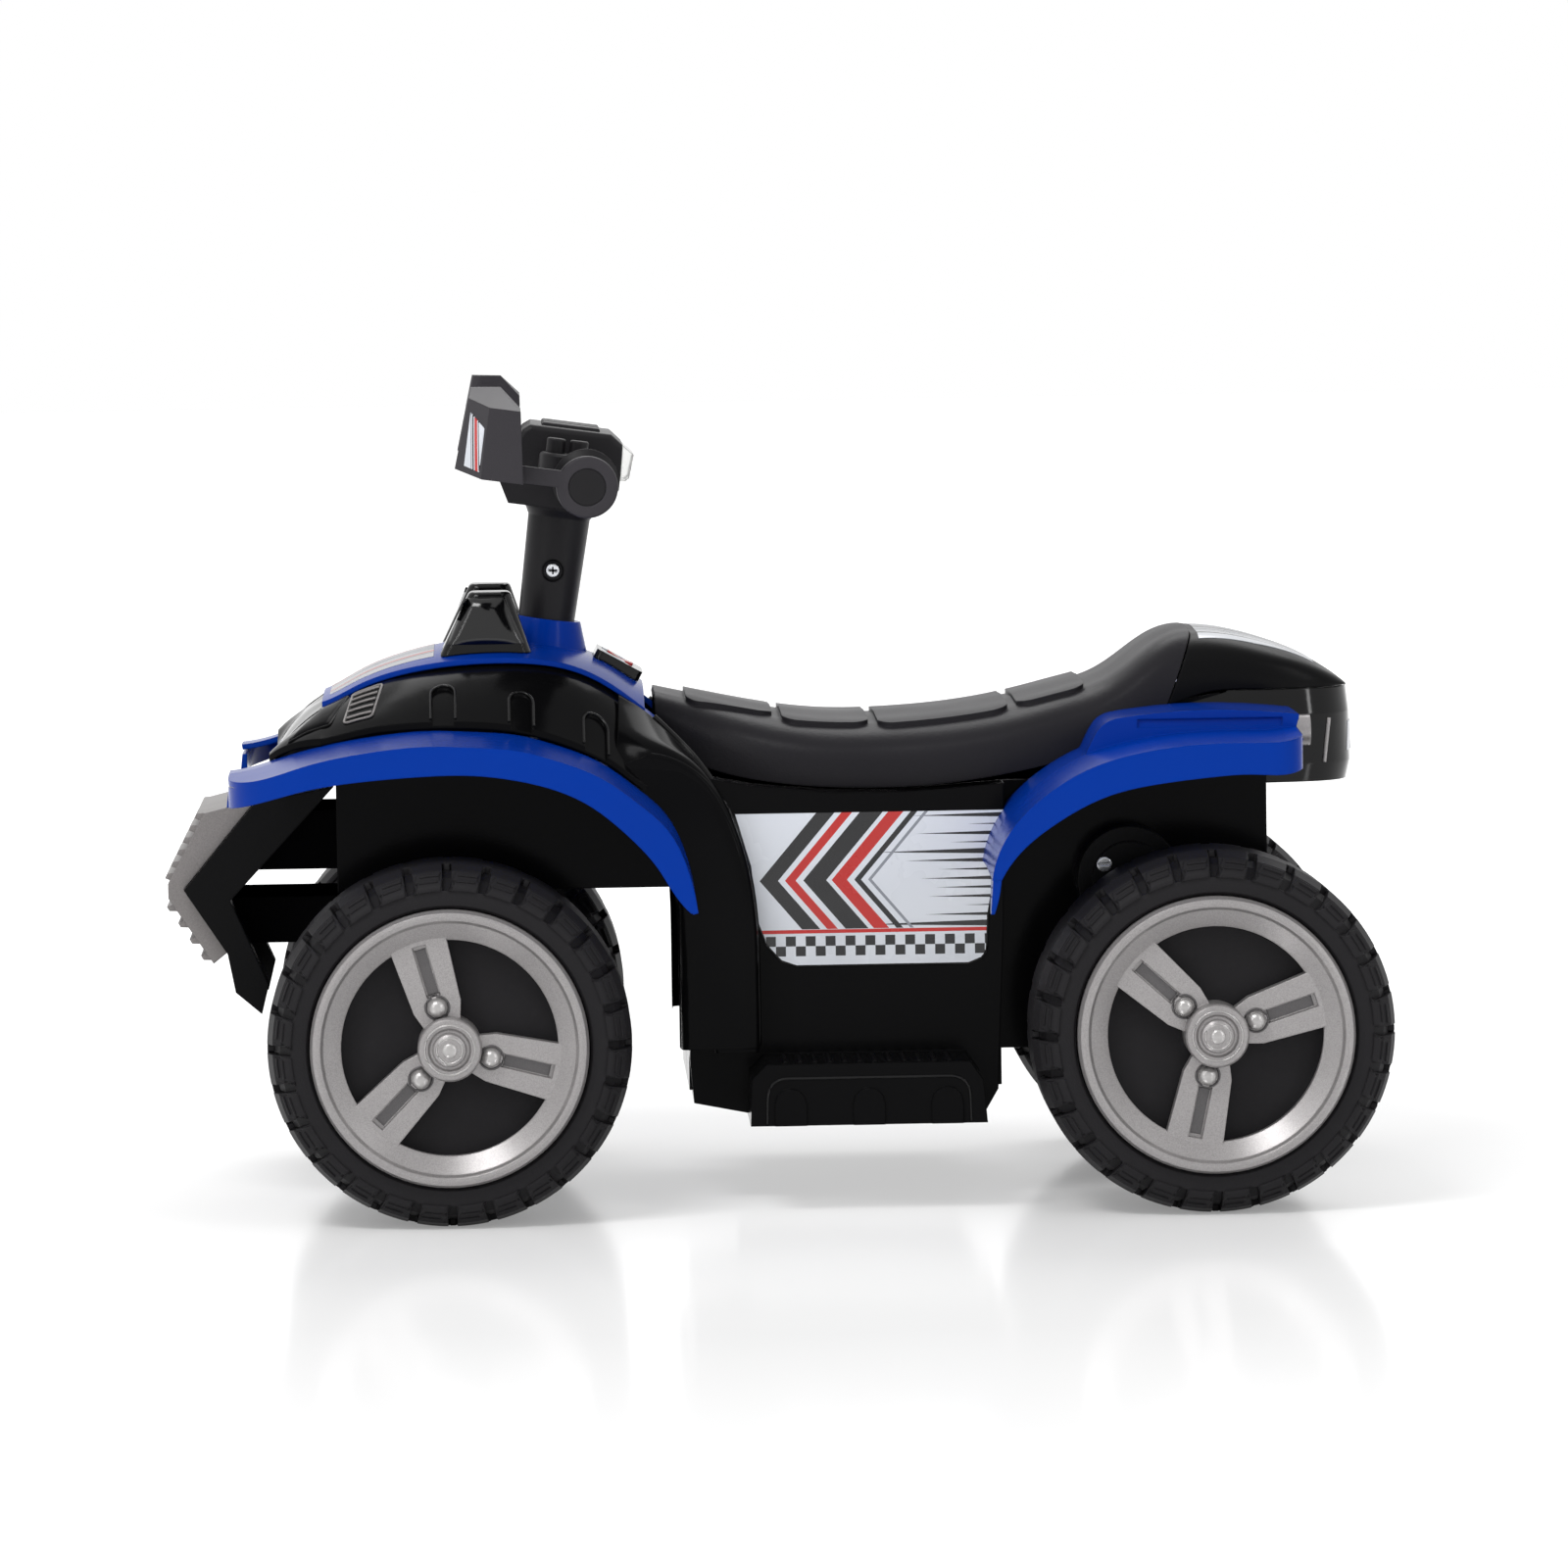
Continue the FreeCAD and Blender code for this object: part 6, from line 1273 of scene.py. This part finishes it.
@dataclass
class WheelTrim:
    """Bolt domes and railed channels on the spokes, turned rings and a centre dome on the hub caps.

    The spokes' angles are those of the left rims. The right rims' spokes stand at other angles, which isn't
    followed: there the trim of the spokes misses them, and pieces without any skin below come out empty.
    """

    bolt_circle: float = 0.0225
    bolt_radius: float = 0.0052
    bolt_rise: float = 0.0042
    bolt_sink: float = 0.0012
    seat_radius: float = 0.0062
    seat_lift: float = 0.0001
    seat_bead: float = 0.0007
    channel: Pair = (0.0295, 0.0545)
    channel_half: float = 0.0034
    channel_film: Pair = (0.0003, -0.0003)
    rail_lift: float = 0.0002
    points: int = 26
    cap_radius: float = 0.0042
    cap_rise: float = 0.0018
    cap_sink: float = 0.0006
    cap_rings: Pair = (0.0068, 0.0132)
    bead: float = 0.0006
    levels: int = 11
    sectors: int = 20
    first_spoke: dict[str, float] = field(default_factory=lambda: {"front": 106.0, "rear": 138.0})

    def domes(self, name: str, middles: Array, radius: float, rise: float, wheel: str) -> None:
        """Flattened balls: middle + (r cos e cos a, rise sin e, r cos e sin a).

        Args:
            name: the piece's name.
            middles: their middles, one row each.
            radius: their radius r.
            rise: their height.
            wheel: the wheel they belong to.
        """
        level, turn = np.meshgrid(np.linspace(-math.pi / 2, math.pi / 2, self.levels),
                                  np.linspace(0, 2 * math.pi, self.sectors, endpoint=False), indexing="ij")
        ball = np.stack([radius * np.cos(level) * np.cos(turn), rise * np.sin(level),
                         radius * np.cos(level) * np.sin(turn)], axis=-1)
        faces = Mesh.quads(self.levels, self.sectors, False, True)
        faces = Mesh.copies(faces, self.levels * self.sectors, len(middles))
        Mesh.weld(name, middles[:, None, None] + ball, faces, Finish.BOLT, f"{wheel}_wheel")

    def channels(self, wheel: str, hub: Array, turn: Array, sign: int) -> None:
        """Railed channel along each spoke, hub + r (cos t, sin t) + w (-sin t, cos t), and bolt seats.

        Args:
            wheel: the wheel's name.
            hub: X and Z of the axle.
            turn: the spokes' angles.
            sign: the outer side as the sign of Y.
        """
        skin = Skin(f"{wheel}_rim")
        body = f"{wheel}_wheel"
        along = np.stack([np.cos(turn), np.sin(turn)], axis=-1)
        aside = np.stack([-np.sin(turn), np.cos(turn)], axis=-1)

        def spread(radius: Array, offset: Array) -> Array:
            """X and Z at a distance along and beside each spoke."""
            reach = radius[..., None] * along[:, None, None] + offset[..., None] * aside[:, None, None]
            return hub + reach

        u, v = grid(self.points, 12)
        # The channel's floor sheet is darker silver: painted shade in each spoke's groove.
        floor = spread(between(*self.channel, u), (2 * v - 1) * self.channel_half)
        layers = skin.drape(Axis.Y, sign, floor, *self.channel_film)
        Mesh.sheet(f"{wheel}_channels", *layers, Finish.CHANNEL, body)
        offset, radius = np.meshgrid(np.array([-1.0, 1.0]) * self.channel_half,
                                     np.linspace(*self.channel, self.points), indexing="ij")
        rails = skin.drape(Axis.Y, sign, spread(radius, offset), self.rail_lift)[0]
        rails = rails.reshape(-1, self.points, 3)
        Mesh.tube(f"{wheel}_rails", rails, self.bead, Finish.SILVER, body, sides=6)
        # Rings round each bolt in darker silver: painted shade round the bolt's foot.
        rings = hub + self.bolt_circle * along[:, None] + self.seat_radius * circle(32)
        seats = skin.drape(Axis.Y, sign, rings, self.seat_lift)[0]
        Mesh.tube(f"{wheel}_bolt_seats", seats, self.seat_bead, Finish.CHANNEL, body, loop=True, sides=6)

    def build(self) -> None:
        """Seats each dome and ring on the rim's or the cap's outer face."""
        for wheel in WHEELS:
            end, side = wheel.split("_")
            sign = Side[side.upper()].value
            hub = np.array([AXLE_X[end], WHEEL_RADIUS])
            turn = np.radians(self.first_spoke[end] + 120 * np.arange(3))
            spots = hub + self.bolt_circle * np.stack([np.cos(turn), np.sin(turn)], axis=-1)
            middles = Skin(f"{wheel}_rim").drape(Axis.Y, sign, spots, -self.bolt_sink)[0]
            self.domes(f"{wheel}_bolts", middles, self.bolt_radius, self.bolt_rise, wheel)
            self.channels(wheel, hub, turn, sign)
            cap = Skin(f"{wheel}_hub_cap")
            middle = cap.drape(Axis.Y, sign, hub[None], -self.cap_sink)[0]
            self.domes(f"{wheel}_cap_dome", middle, self.cap_radius, self.cap_rise, wheel)
            flat = [hub + radius * circle(48) for radius in self.cap_rings]
            rings = np.concatenate([cap.drape(Axis.Y, sign, ring, 0.0) for ring in flat])
            Mesh.tube(f"{wheel}_cap_rings", rings, self.bead, Finish.BOLT, f"{wheel}_wheel", loop=True,
                      sides=6)


@dataclass
class TailTrim:
    """Slanted marks across the back of the tail and a rib on each of its sides."""

    marks: int = 7
    mark_width: float = 0.0075
    mark_pitch: float = 0.0125
    lean: float = 0.004
    low: float = 0.2365
    high: float = 0.2525
    film: Pair = (0.0004, -0.0003)
    rib_foot: Pair = (0.3035, 0.2315)
    rib_run: Pair = (0.003, 0.024)
    rib_lift: float = 0.0003
    rib_bead: float = 0.0011

    def build(self) -> None:
        """Marks as y = y0 + u w + v lean, z = low + v (high - low), with x read off the panel's back."""
        skin = Skin("tail_panel")
        u, v = grid(6, 8)
        middle = (np.arange(self.marks) - (self.marks - 1) / 2) * self.mark_pitch
        start = middle - self.mark_width / 2 - self.lean / 2
        y = start[:, None, None] + u * self.mark_width + v * self.lean
        z = np.broadcast_to(between(self.low, self.high, v), y.shape)
        layers = skin.drape(Axis.X, 1, np.stack([y, z], axis=-1), *self.film)
        Mesh.sheet("tail_marks", *layers, Finish.WHITE, CHASSIS)
        run = np.array(self.rib_foot) + np.linspace(0, 1, 20)[:, None] * np.array(self.rib_run)
        ribs = np.concatenate([skin.drape(Axis.Y, side.value, run, self.rib_lift) for side in Side])
        Mesh.tube("tail_ribs", ribs, self.rib_bead, Finish.SILVER, CHASSIS)


@dataclass
class BarTrim:
    """Labels on the hand guards, the instrument face, and the column screw's seat and slots."""

    label_y: Pair = (0.1625, 0.1758)
    label_low: Pair = (0.4045, 0.4015)
    label_high: Pair = (0.4325, 0.4245)
    label_film: Pair = (0.0004, -0.0002)
    face_half: float = 0.031
    face_low: float = 0.3925
    face_height: float = 0.0145
    screw: Pair = (-0.1152, 0.3407)
    seat_radius: float = 0.0056
    seat_bead: float = 0.0007
    slot: Pair = (0.0021, 0.00042)
    slot_ends: Pair = (0.0003, -0.0001)

    def labels(self) -> None:
        """Label as y = inner + u (outer - inner), z between slanting edges, x off the guard's front."""
        u, v = grid(20, 20)
        y = between(*self.label_y, u)
        z = between(between(*self.label_low, u), between(*self.label_high, u), v)
        for side in Side:
            skin = Skin(f"handguard_{side.label}")
            layers = skin.drape(Axis.X, -1, np.stack([side.value * y, z], axis=-1), *self.label_film)
            Mesh.sheet(f"guard_label_{side.label}", *layers, Finish.GUARD_PRINT, STEERING)

    def meter(self) -> None:
        """Face as y = (2u - 1) w, z = low + v h, with x read off the shell behind the window."""
        u, v = grid(24, 12)
        spots = np.stack([(2 * u - 1) * self.face_half, self.face_low + v * self.face_height], axis=-1)
        layers = Skin("bar_upper_shell", "bar_lower_shell").drape(Axis.X, 1, spots, *FILM)
        Mesh.sheet("meter_face", *layers, Finish.METER_PRINT, STEERING)

    def screw_seat(self) -> None:
        """Ring round the screw, screw + r (cos t, sin t) on the column's skin, and two crossed slots."""
        spots = np.array(self.screw) + self.seat_radius * circle(32)
        ring = Skin("steering_column").drape(Axis.Y, -1, spots, 0.0)[0]
        Mesh.tube("screw_seat", ring, self.seat_bead, Finish.BLACK_SATIN, STEERING, loop=True)
        corners = np.array([(-1, -1), (1, -1), (1, 1), (-1, 1)])
        flat = np.array([self.slot, self.slot[::-1]])[:, None] * corners + np.array(self.screw)
        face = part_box("column_screw")[0][1]
        foot, top = (np.insert(flat, 1, face + out, axis=-1) for out in self.slot_ends)
        Mesh.blocks("screw_slots", foot, top, Finish.BLACK_SATIN, STEERING)

    def build(self) -> None:
        """Builds all trim of the handlebar."""
        self.labels()
        self.meter()
        self.screw_seat()


@dataclass
class DashLabels:
    """Small labels on each side of the rocker switch."""

    along: Pair = (-0.0885, -0.0765)
    across: Pair = (0.0100, 0.0205)

    def build(self) -> None:
        """Label as x = a + u (b - a), y = c + v (d - c), with z read off the bezel."""
        skin = Skin("dash_bezel")
        u, v = grid(10, 10)
        x, y = between(*self.along, u), between(*self.across, v)
        for side in Side:
            layers = skin.drape(Axis.Z, 1, np.stack([x, side.value * y], axis=-1), *FILM)
            Mesh.sheet(f"dash_label_{side.label}", *layers, Finish.DASH_PRINT, CHASSIS)


@dataclass
class Treads:
    """Small nubs round each tyre's crown and barred lugs on its shoulders."""

    nubs: int = 96
    rows: tuple[float, ...] = (-0.0185, -0.0105, 0.0105, 0.0185)
    row_shift: tuple[float, ...] = (0.0, 0.5, 0.5, 0.0)
    nub_share: float = 0.3
    nub_half: float = 0.003
    nub_foot: float = 0.0930
    nub_top: float = 0.09675
    nub_taper: float = 0.75
    lugs: int = 28
    pad: Pair = (0.0838, 0.0935)
    pad_lifts: Pair = (0.0011, -0.0006)
    pad_share: float = 0.78
    pad_taper: float = 0.1
    slant: float = 0.16
    bar_share: float = 0.72
    bar_rows: Pair = (0.52, 0.82)
    bar_lift: float = 0.0012
    bar_bead: float = 0.0008
    bar_points: int = 9

    def around(self, x: float, angle: Array, radius: Array, y: Array) -> Array:
        """Places on a wheel: (x + r sin a, y, R + r cos a).

        Args:
            x: the axle's place.
            angle: angles a.
            radius: distances r from the axle.
            y: places across the bike.

        Returns:
            The places.
        """
        angle, radius, y = np.broadcast_arrays(angle, radius, y)
        return np.stack([x + radius * np.sin(angle), y, WHEEL_RADIUS + radius * np.cos(angle)], axis=-1)

    def crown_nubs(self, wheel: str, x: float, middle: float) -> None:
        """Rows of nubs, each a block between two angles and two places across.

        Args:
            wheel: the wheel's name.
            x: the axle's place.
            middle: the tyre's middle across the bike.
        """
        step = 2 * math.pi / self.nubs
        angle = ((np.arange(self.nubs)[None] + np.array(self.row_shift)[:, None]) * step)[..., None]
        row = middle + np.array(self.rows)[:, None, None]
        turn = self.nub_share * np.array([-1, 1, 1, -1]) * step
        width = self.nub_half * np.array([-1, -1, 1, 1])
        foot = self.around(x, angle + turn, self.nub_foot, row + width)
        top = self.around(x, angle + self.nub_taper * turn, self.nub_top, row + self.nub_taper * width)
        foot, top = (corners.reshape(-1, 4, 3) for corners in (foot, top))
        Mesh.blocks(f"{wheel}_nubs", foot, top, Finish.TYRE, f"{wheel}_wheel")

    def shoulder_lugs(self, wheel: str, x: float, middle: float) -> None:
        """Slanted pads on both shoulders, r = inner + v (outer - inner) by angle, with two bars along each.

        Args:
            wheel: the wheel's name.
            x: the axle's place.
            middle: the tyre's middle across the bike.
        """
        skin = Skin(f"{wheel}_tyre")
        pitch = 2 * math.pi / self.lugs
        lug = ((np.arange(self.lugs) + 0.5) * pitch)[:, None, None]

        def spread(u: Array, v: Array, share: object) -> Array:
            """X and Z at shares along and up every lug, u by angle and v by distance."""
            angle = lug + pitch * ((u - 0.5) * share + self.slant * (v - 0.5))
            return self.around(x, angle, between(*self.pad, v), middle)[..., [0, 2]]

        u, v = grid(9, 8)
        pads = spread(u, v, self.pad_share - self.pad_taper * v)
        bar_u, bar_v = np.meshgrid(np.linspace(0.16, 0.84, self.bar_points), np.array(self.bar_rows))
        lines = spread(bar_u, bar_v, self.bar_share)
        layers = [skin.drape(Axis.Y, sign, pads, *self.pad_lifts) for sign in (-1, 1)]
        tops, feet = (np.concatenate(layer) for layer in zip(*layers))
        bars = np.concatenate([skin.drape(Axis.Y, sign, lines, self.bar_lift) for sign in (-1, 1)])
        Mesh.sheet(f"{wheel}_shoulder_lugs", tops, feet, Finish.TYRE, f"{wheel}_wheel")
        Mesh.tube(f"{wheel}_lug_bars", bars.reshape(-1, self.bar_points, 3), self.bar_bead, Finish.TYRE,
                  f"{wheel}_wheel", sides=6)

    def build(self) -> None:
        """Dresses the four tyres."""
        for wheel in WHEELS:
            end, side = wheel.split("_")
            middle = HALF_TRACK * Side[side.upper()].value
            self.crown_nubs(wheel, AXLE_X[end], middle)
            self.shoulder_lugs(wheel, AXLE_X[end], middle)


@dataclass
class Footboards:
    """Moulded arch line on each board's outer face and grip ribs on its top."""

    outer: float = 0.152
    top: float = 0.081
    arch: Corners = ((-0.0062, 0.0492), (-0.0055, 0.0735), (0.1025, 0.0735), (0.1032, 0.0492))
    arch_turn: float = 0.011
    arch_bead: float = 0.0008
    ribs: tuple[float, ...] = (0.004, 0.012, 0.020, 0.028, 0.036, 0.044, 0.052, 0.060, 0.068, 0.076, 0.084,
                               0.092)
    rib_bead: float = 0.0014
    inner_edge: float = 0.108
    outer_edge: float = 0.146
    pedal: Pair = (0.014, 0.09)

    def build(self) -> None:
        """Arch as a rounded run of a bead; ribs as half-sunk beads across, left out beside the pedal."""
        run = rounded_run(np.array(self.arch), self.arch_turn, 12)
        across = np.linspace(self.inner_edge, self.outer_edge, 8)
        for side in Side:
            arch = upright(run[:, 0], side.value * self.outer, run[:, 1])
            Mesh.tube(f"board_arch_{side.label}", arch, self.arch_bead, Finish.BLACK_GLOSS, CHASSIS,
                      sides=8)
            free = [x for x in self.ribs if side is Side.LEFT or not self.pedal[0] <= x <= self.pedal[1]]
            x, y = np.meshgrid(np.array(free), across, indexing="ij")
            paths = np.stack([x, side.value * y, np.full_like(x, self.top)], axis=-1)
            Mesh.tube(f"board_ribs_{side.label}", paths, self.rib_bead, Finish.BLACK_SATIN, CHASSIS,
                      squeeze=0.8)


@dataclass
class Studio:
    """Pale floor, even light and the camera at the photograph's place."""

    eye: Vector = field(default_factory=lambda: Vector((-0.1405, -4.6, 0.5723)))
    gaze: Vector = field(default_factory=lambda: Vector((0.0328, 1.0, -0.0766)))
    roll: float = -0.01483
    lens: float = 192.1
    sensor: float = 36.0
    sight: float = 60.0
    aim: Place = (0.0, 0.0, 0.2)
    room_light: Pair = (0.5, 1.0)
    floor_reach: float = 14.0
    floor_grey: Pair = (0.88, 0.92)
    sheen_share: float = 0.3
    sheen_roughness: float = 0.12
    glow_range: Pair = (0.6, 1.8)
    glow: Pair = (0.24, 0.6)
    lamps: tuple[tuple[str, Place, float, Pair], ...] = (
        ("key", (-1.2, -1.9, 3.0), 44.0, (1.4, 0.9)),
        ("front_strip", (-2.1, -2.1, 1.5), 11.0, (0.16, 1.9)),
        ("rear_strip", (2.3, -2.3, 1.5), 13.0, (0.2, 1.9)),
        ("back", (0.4, 2.4, 2.8), 34.0, (2.4, 1.6)),
    )

    def camera(self) -> None:
        """Places the camera that looks along the gaze, rolled a little."""
        data = bpy.data.cameras.new("photo_camera")
        data.lens = self.lens
        data.sensor_width = self.sensor
        data.clip_end = self.sight
        thing = bpy.data.objects.new("photo_camera", data)
        thing.rotation_mode = "QUATERNION"
        thing.location = self.eye
        turn = self.gaze.normalized().to_track_quat("-Z", "Y")
        thing.rotation_quaternion = turn @ Matrix.Rotation(self.roll, 3, "Z").to_quaternion()
        bpy.context.scene.collection.objects.link(thing)
        bpy.context.scene.camera = thing

    def lamp(self, name: str, place: Place, power: float, size: Pair) -> None:
        """Adds a soft lamp that faces the bike.

        Args:
            name: the lamp's name.
            place: where it stands.
            power: its power in watts.
            size: its width and height.
        """
        data = bpy.data.lights.new(name, "AREA")
        data.shape = "RECTANGLE"
        data.energy = power
        data.size, data.size_y = size
        thing = bpy.data.objects.new(name, data)
        thing.location = place
        thing.rotation_mode = "QUATERNION"
        thing.rotation_quaternion = (Vector(self.aim) - Vector(place)).to_track_quat("-Z", "Y")
        bpy.context.scene.collection.objects.link(thing)

    def seen(self, tree: bpy.types.NodeTree) -> Socket:
        """Value that is 1 for what the camera sees, straight, in a mirror or through glass.

        Args:
            tree: the node tree it is added to.

        Returns:
            The value.
        """
        path = tree.nodes.new("ShaderNodeLightPath")
        result = path.outputs["Is Camera Ray"]
        for kind in ("Is Glossy Ray", "Is Transmission Ray"):
            either = tree.nodes.new("ShaderNodeMath")
            either.operation = "MAXIMUM"
            tree.links.new(result, either.inputs[0])
            tree.links.new(path.outputs[kind], either.inputs[1])
            result = either.outputs[0]
        return result

    def world(self) -> None:
        """White surroundings for the camera and mirrors, and an even dimmer light for everything else."""
        world = bpy.data.worlds.new("white_room")
        bpy.context.scene.world = world
        world.use_nodes = True
        tree = world.node_tree
        tree.nodes.clear()
        level = tree.nodes.new("ShaderNodeMapRange")
        level.inputs["To Min"].default_value, level.inputs["To Max"].default_value = self.room_light
        tree.links.new(self.seen(tree), level.inputs["Value"])
        glow = tree.nodes.new("ShaderNodeBackground")
        glow.inputs["Color"].default_value = (1, 1, 1, 1)
        tree.links.new(level.outputs[0], glow.inputs["Strength"])
        out = tree.nodes.new("ShaderNodeOutputWorld")
        tree.links.new(glow.outputs[0], out.inputs["Surface"])

    def floor(self) -> None:
        """Wide pale floor with a soft sheen: its own white where it is seen, less the bike's shadow."""
        mesh = bpy.data.meshes.new("floor")
        reach = self.floor_reach
        corners = [(-reach, -reach, 0), (reach, -reach, 0), (reach, reach, 0), (-reach, reach, 0)]
        mesh.from_pydata(corners, [], [(0, 1, 2, 3)])
        thing = bpy.data.objects.new("floor", mesh)
        bpy.context.scene.collection.objects.link(thing)
        nodes = Nodes("pale_floor")
        where = nodes.add("TexCoord").outputs["Object"]
        dark, pale = ((grey,) * 3 for grey in self.floor_grey)
        tint = nodes.blend(nodes.noise(where, 3.0, 3.0), dark, pale)
        matt = nodes.add("BsdfDiffuse", {"Color": tint})
        sheen = nodes.add("BsdfGlossy", {"Color": (1, 1, 1, 1), "Roughness": self.sheen_roughness})
        skin = nodes.add("MixShader", {0: self.sheen_share, 1: matt.outputs[0], 2: sheen.outputs[0]})
        away = nodes.add("VectorMath", {0: where}, operation="LENGTH").outputs["Value"]
        level = nodes.span(away, *self.glow_range, *self.glow)
        glow = nodes.add("Emission", {"Strength": nodes.sum("MULTIPLY", self.seen(nodes.tree), level)})
        both = nodes.add("AddShader", {0: skin.outputs[0], 1: glow.outputs[0]})
        nodes.add("OutputMaterial", {"Surface": both.outputs[0]})
        mesh.materials.append(nodes.made)

    def build(self) -> None:
        """Sets up everything around the bike."""
        bpy.context.scene.view_settings.view_transform = "Standard"
        self.camera()
        self.world()
        self.floor()
        for lamp in self.lamps:
            self.lamp(*lamp)


def dress_frame() -> None:
    """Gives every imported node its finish."""
    for finish, names in NODE_FINISH.items():
        for name in names:
            finish.dress(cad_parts[name])
    LOG.info("dressed %d nodes", sum(len(names) for names in NODE_FINISH.values()))


def main() -> None:
    """Builds the studio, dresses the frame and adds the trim."""
    logging.basicConfig(level=logging.INFO)
    Studio().build()
    dress_frame()
    hood = TopFilm("hood_foil", "hood_panel", Finish.FOIL_PRINT,
                   ((-0.238, 0.040), (-0.215, 0.050), (-0.181, 0.055)))
    tail = TopFilm("tail_film", "tail_cover", Finish.TAIL_PRINT,
                   ((0.236, 0.054), (0.268, 0.050), (0.300, 0.038)))
    for assembly in (SideFilms(), hood, tail, LampPanels(), LegFairings(), NoseSkirts(), FluteLips(),
                     PodCheeks(), FenderToes(), TailCheeks(), WheelTrim(), TailTrim(), BarTrim(),
                     DashLabels(), Treads(), Footboards()):
        assembly.build()


if __name__ == "__main__":
    main()
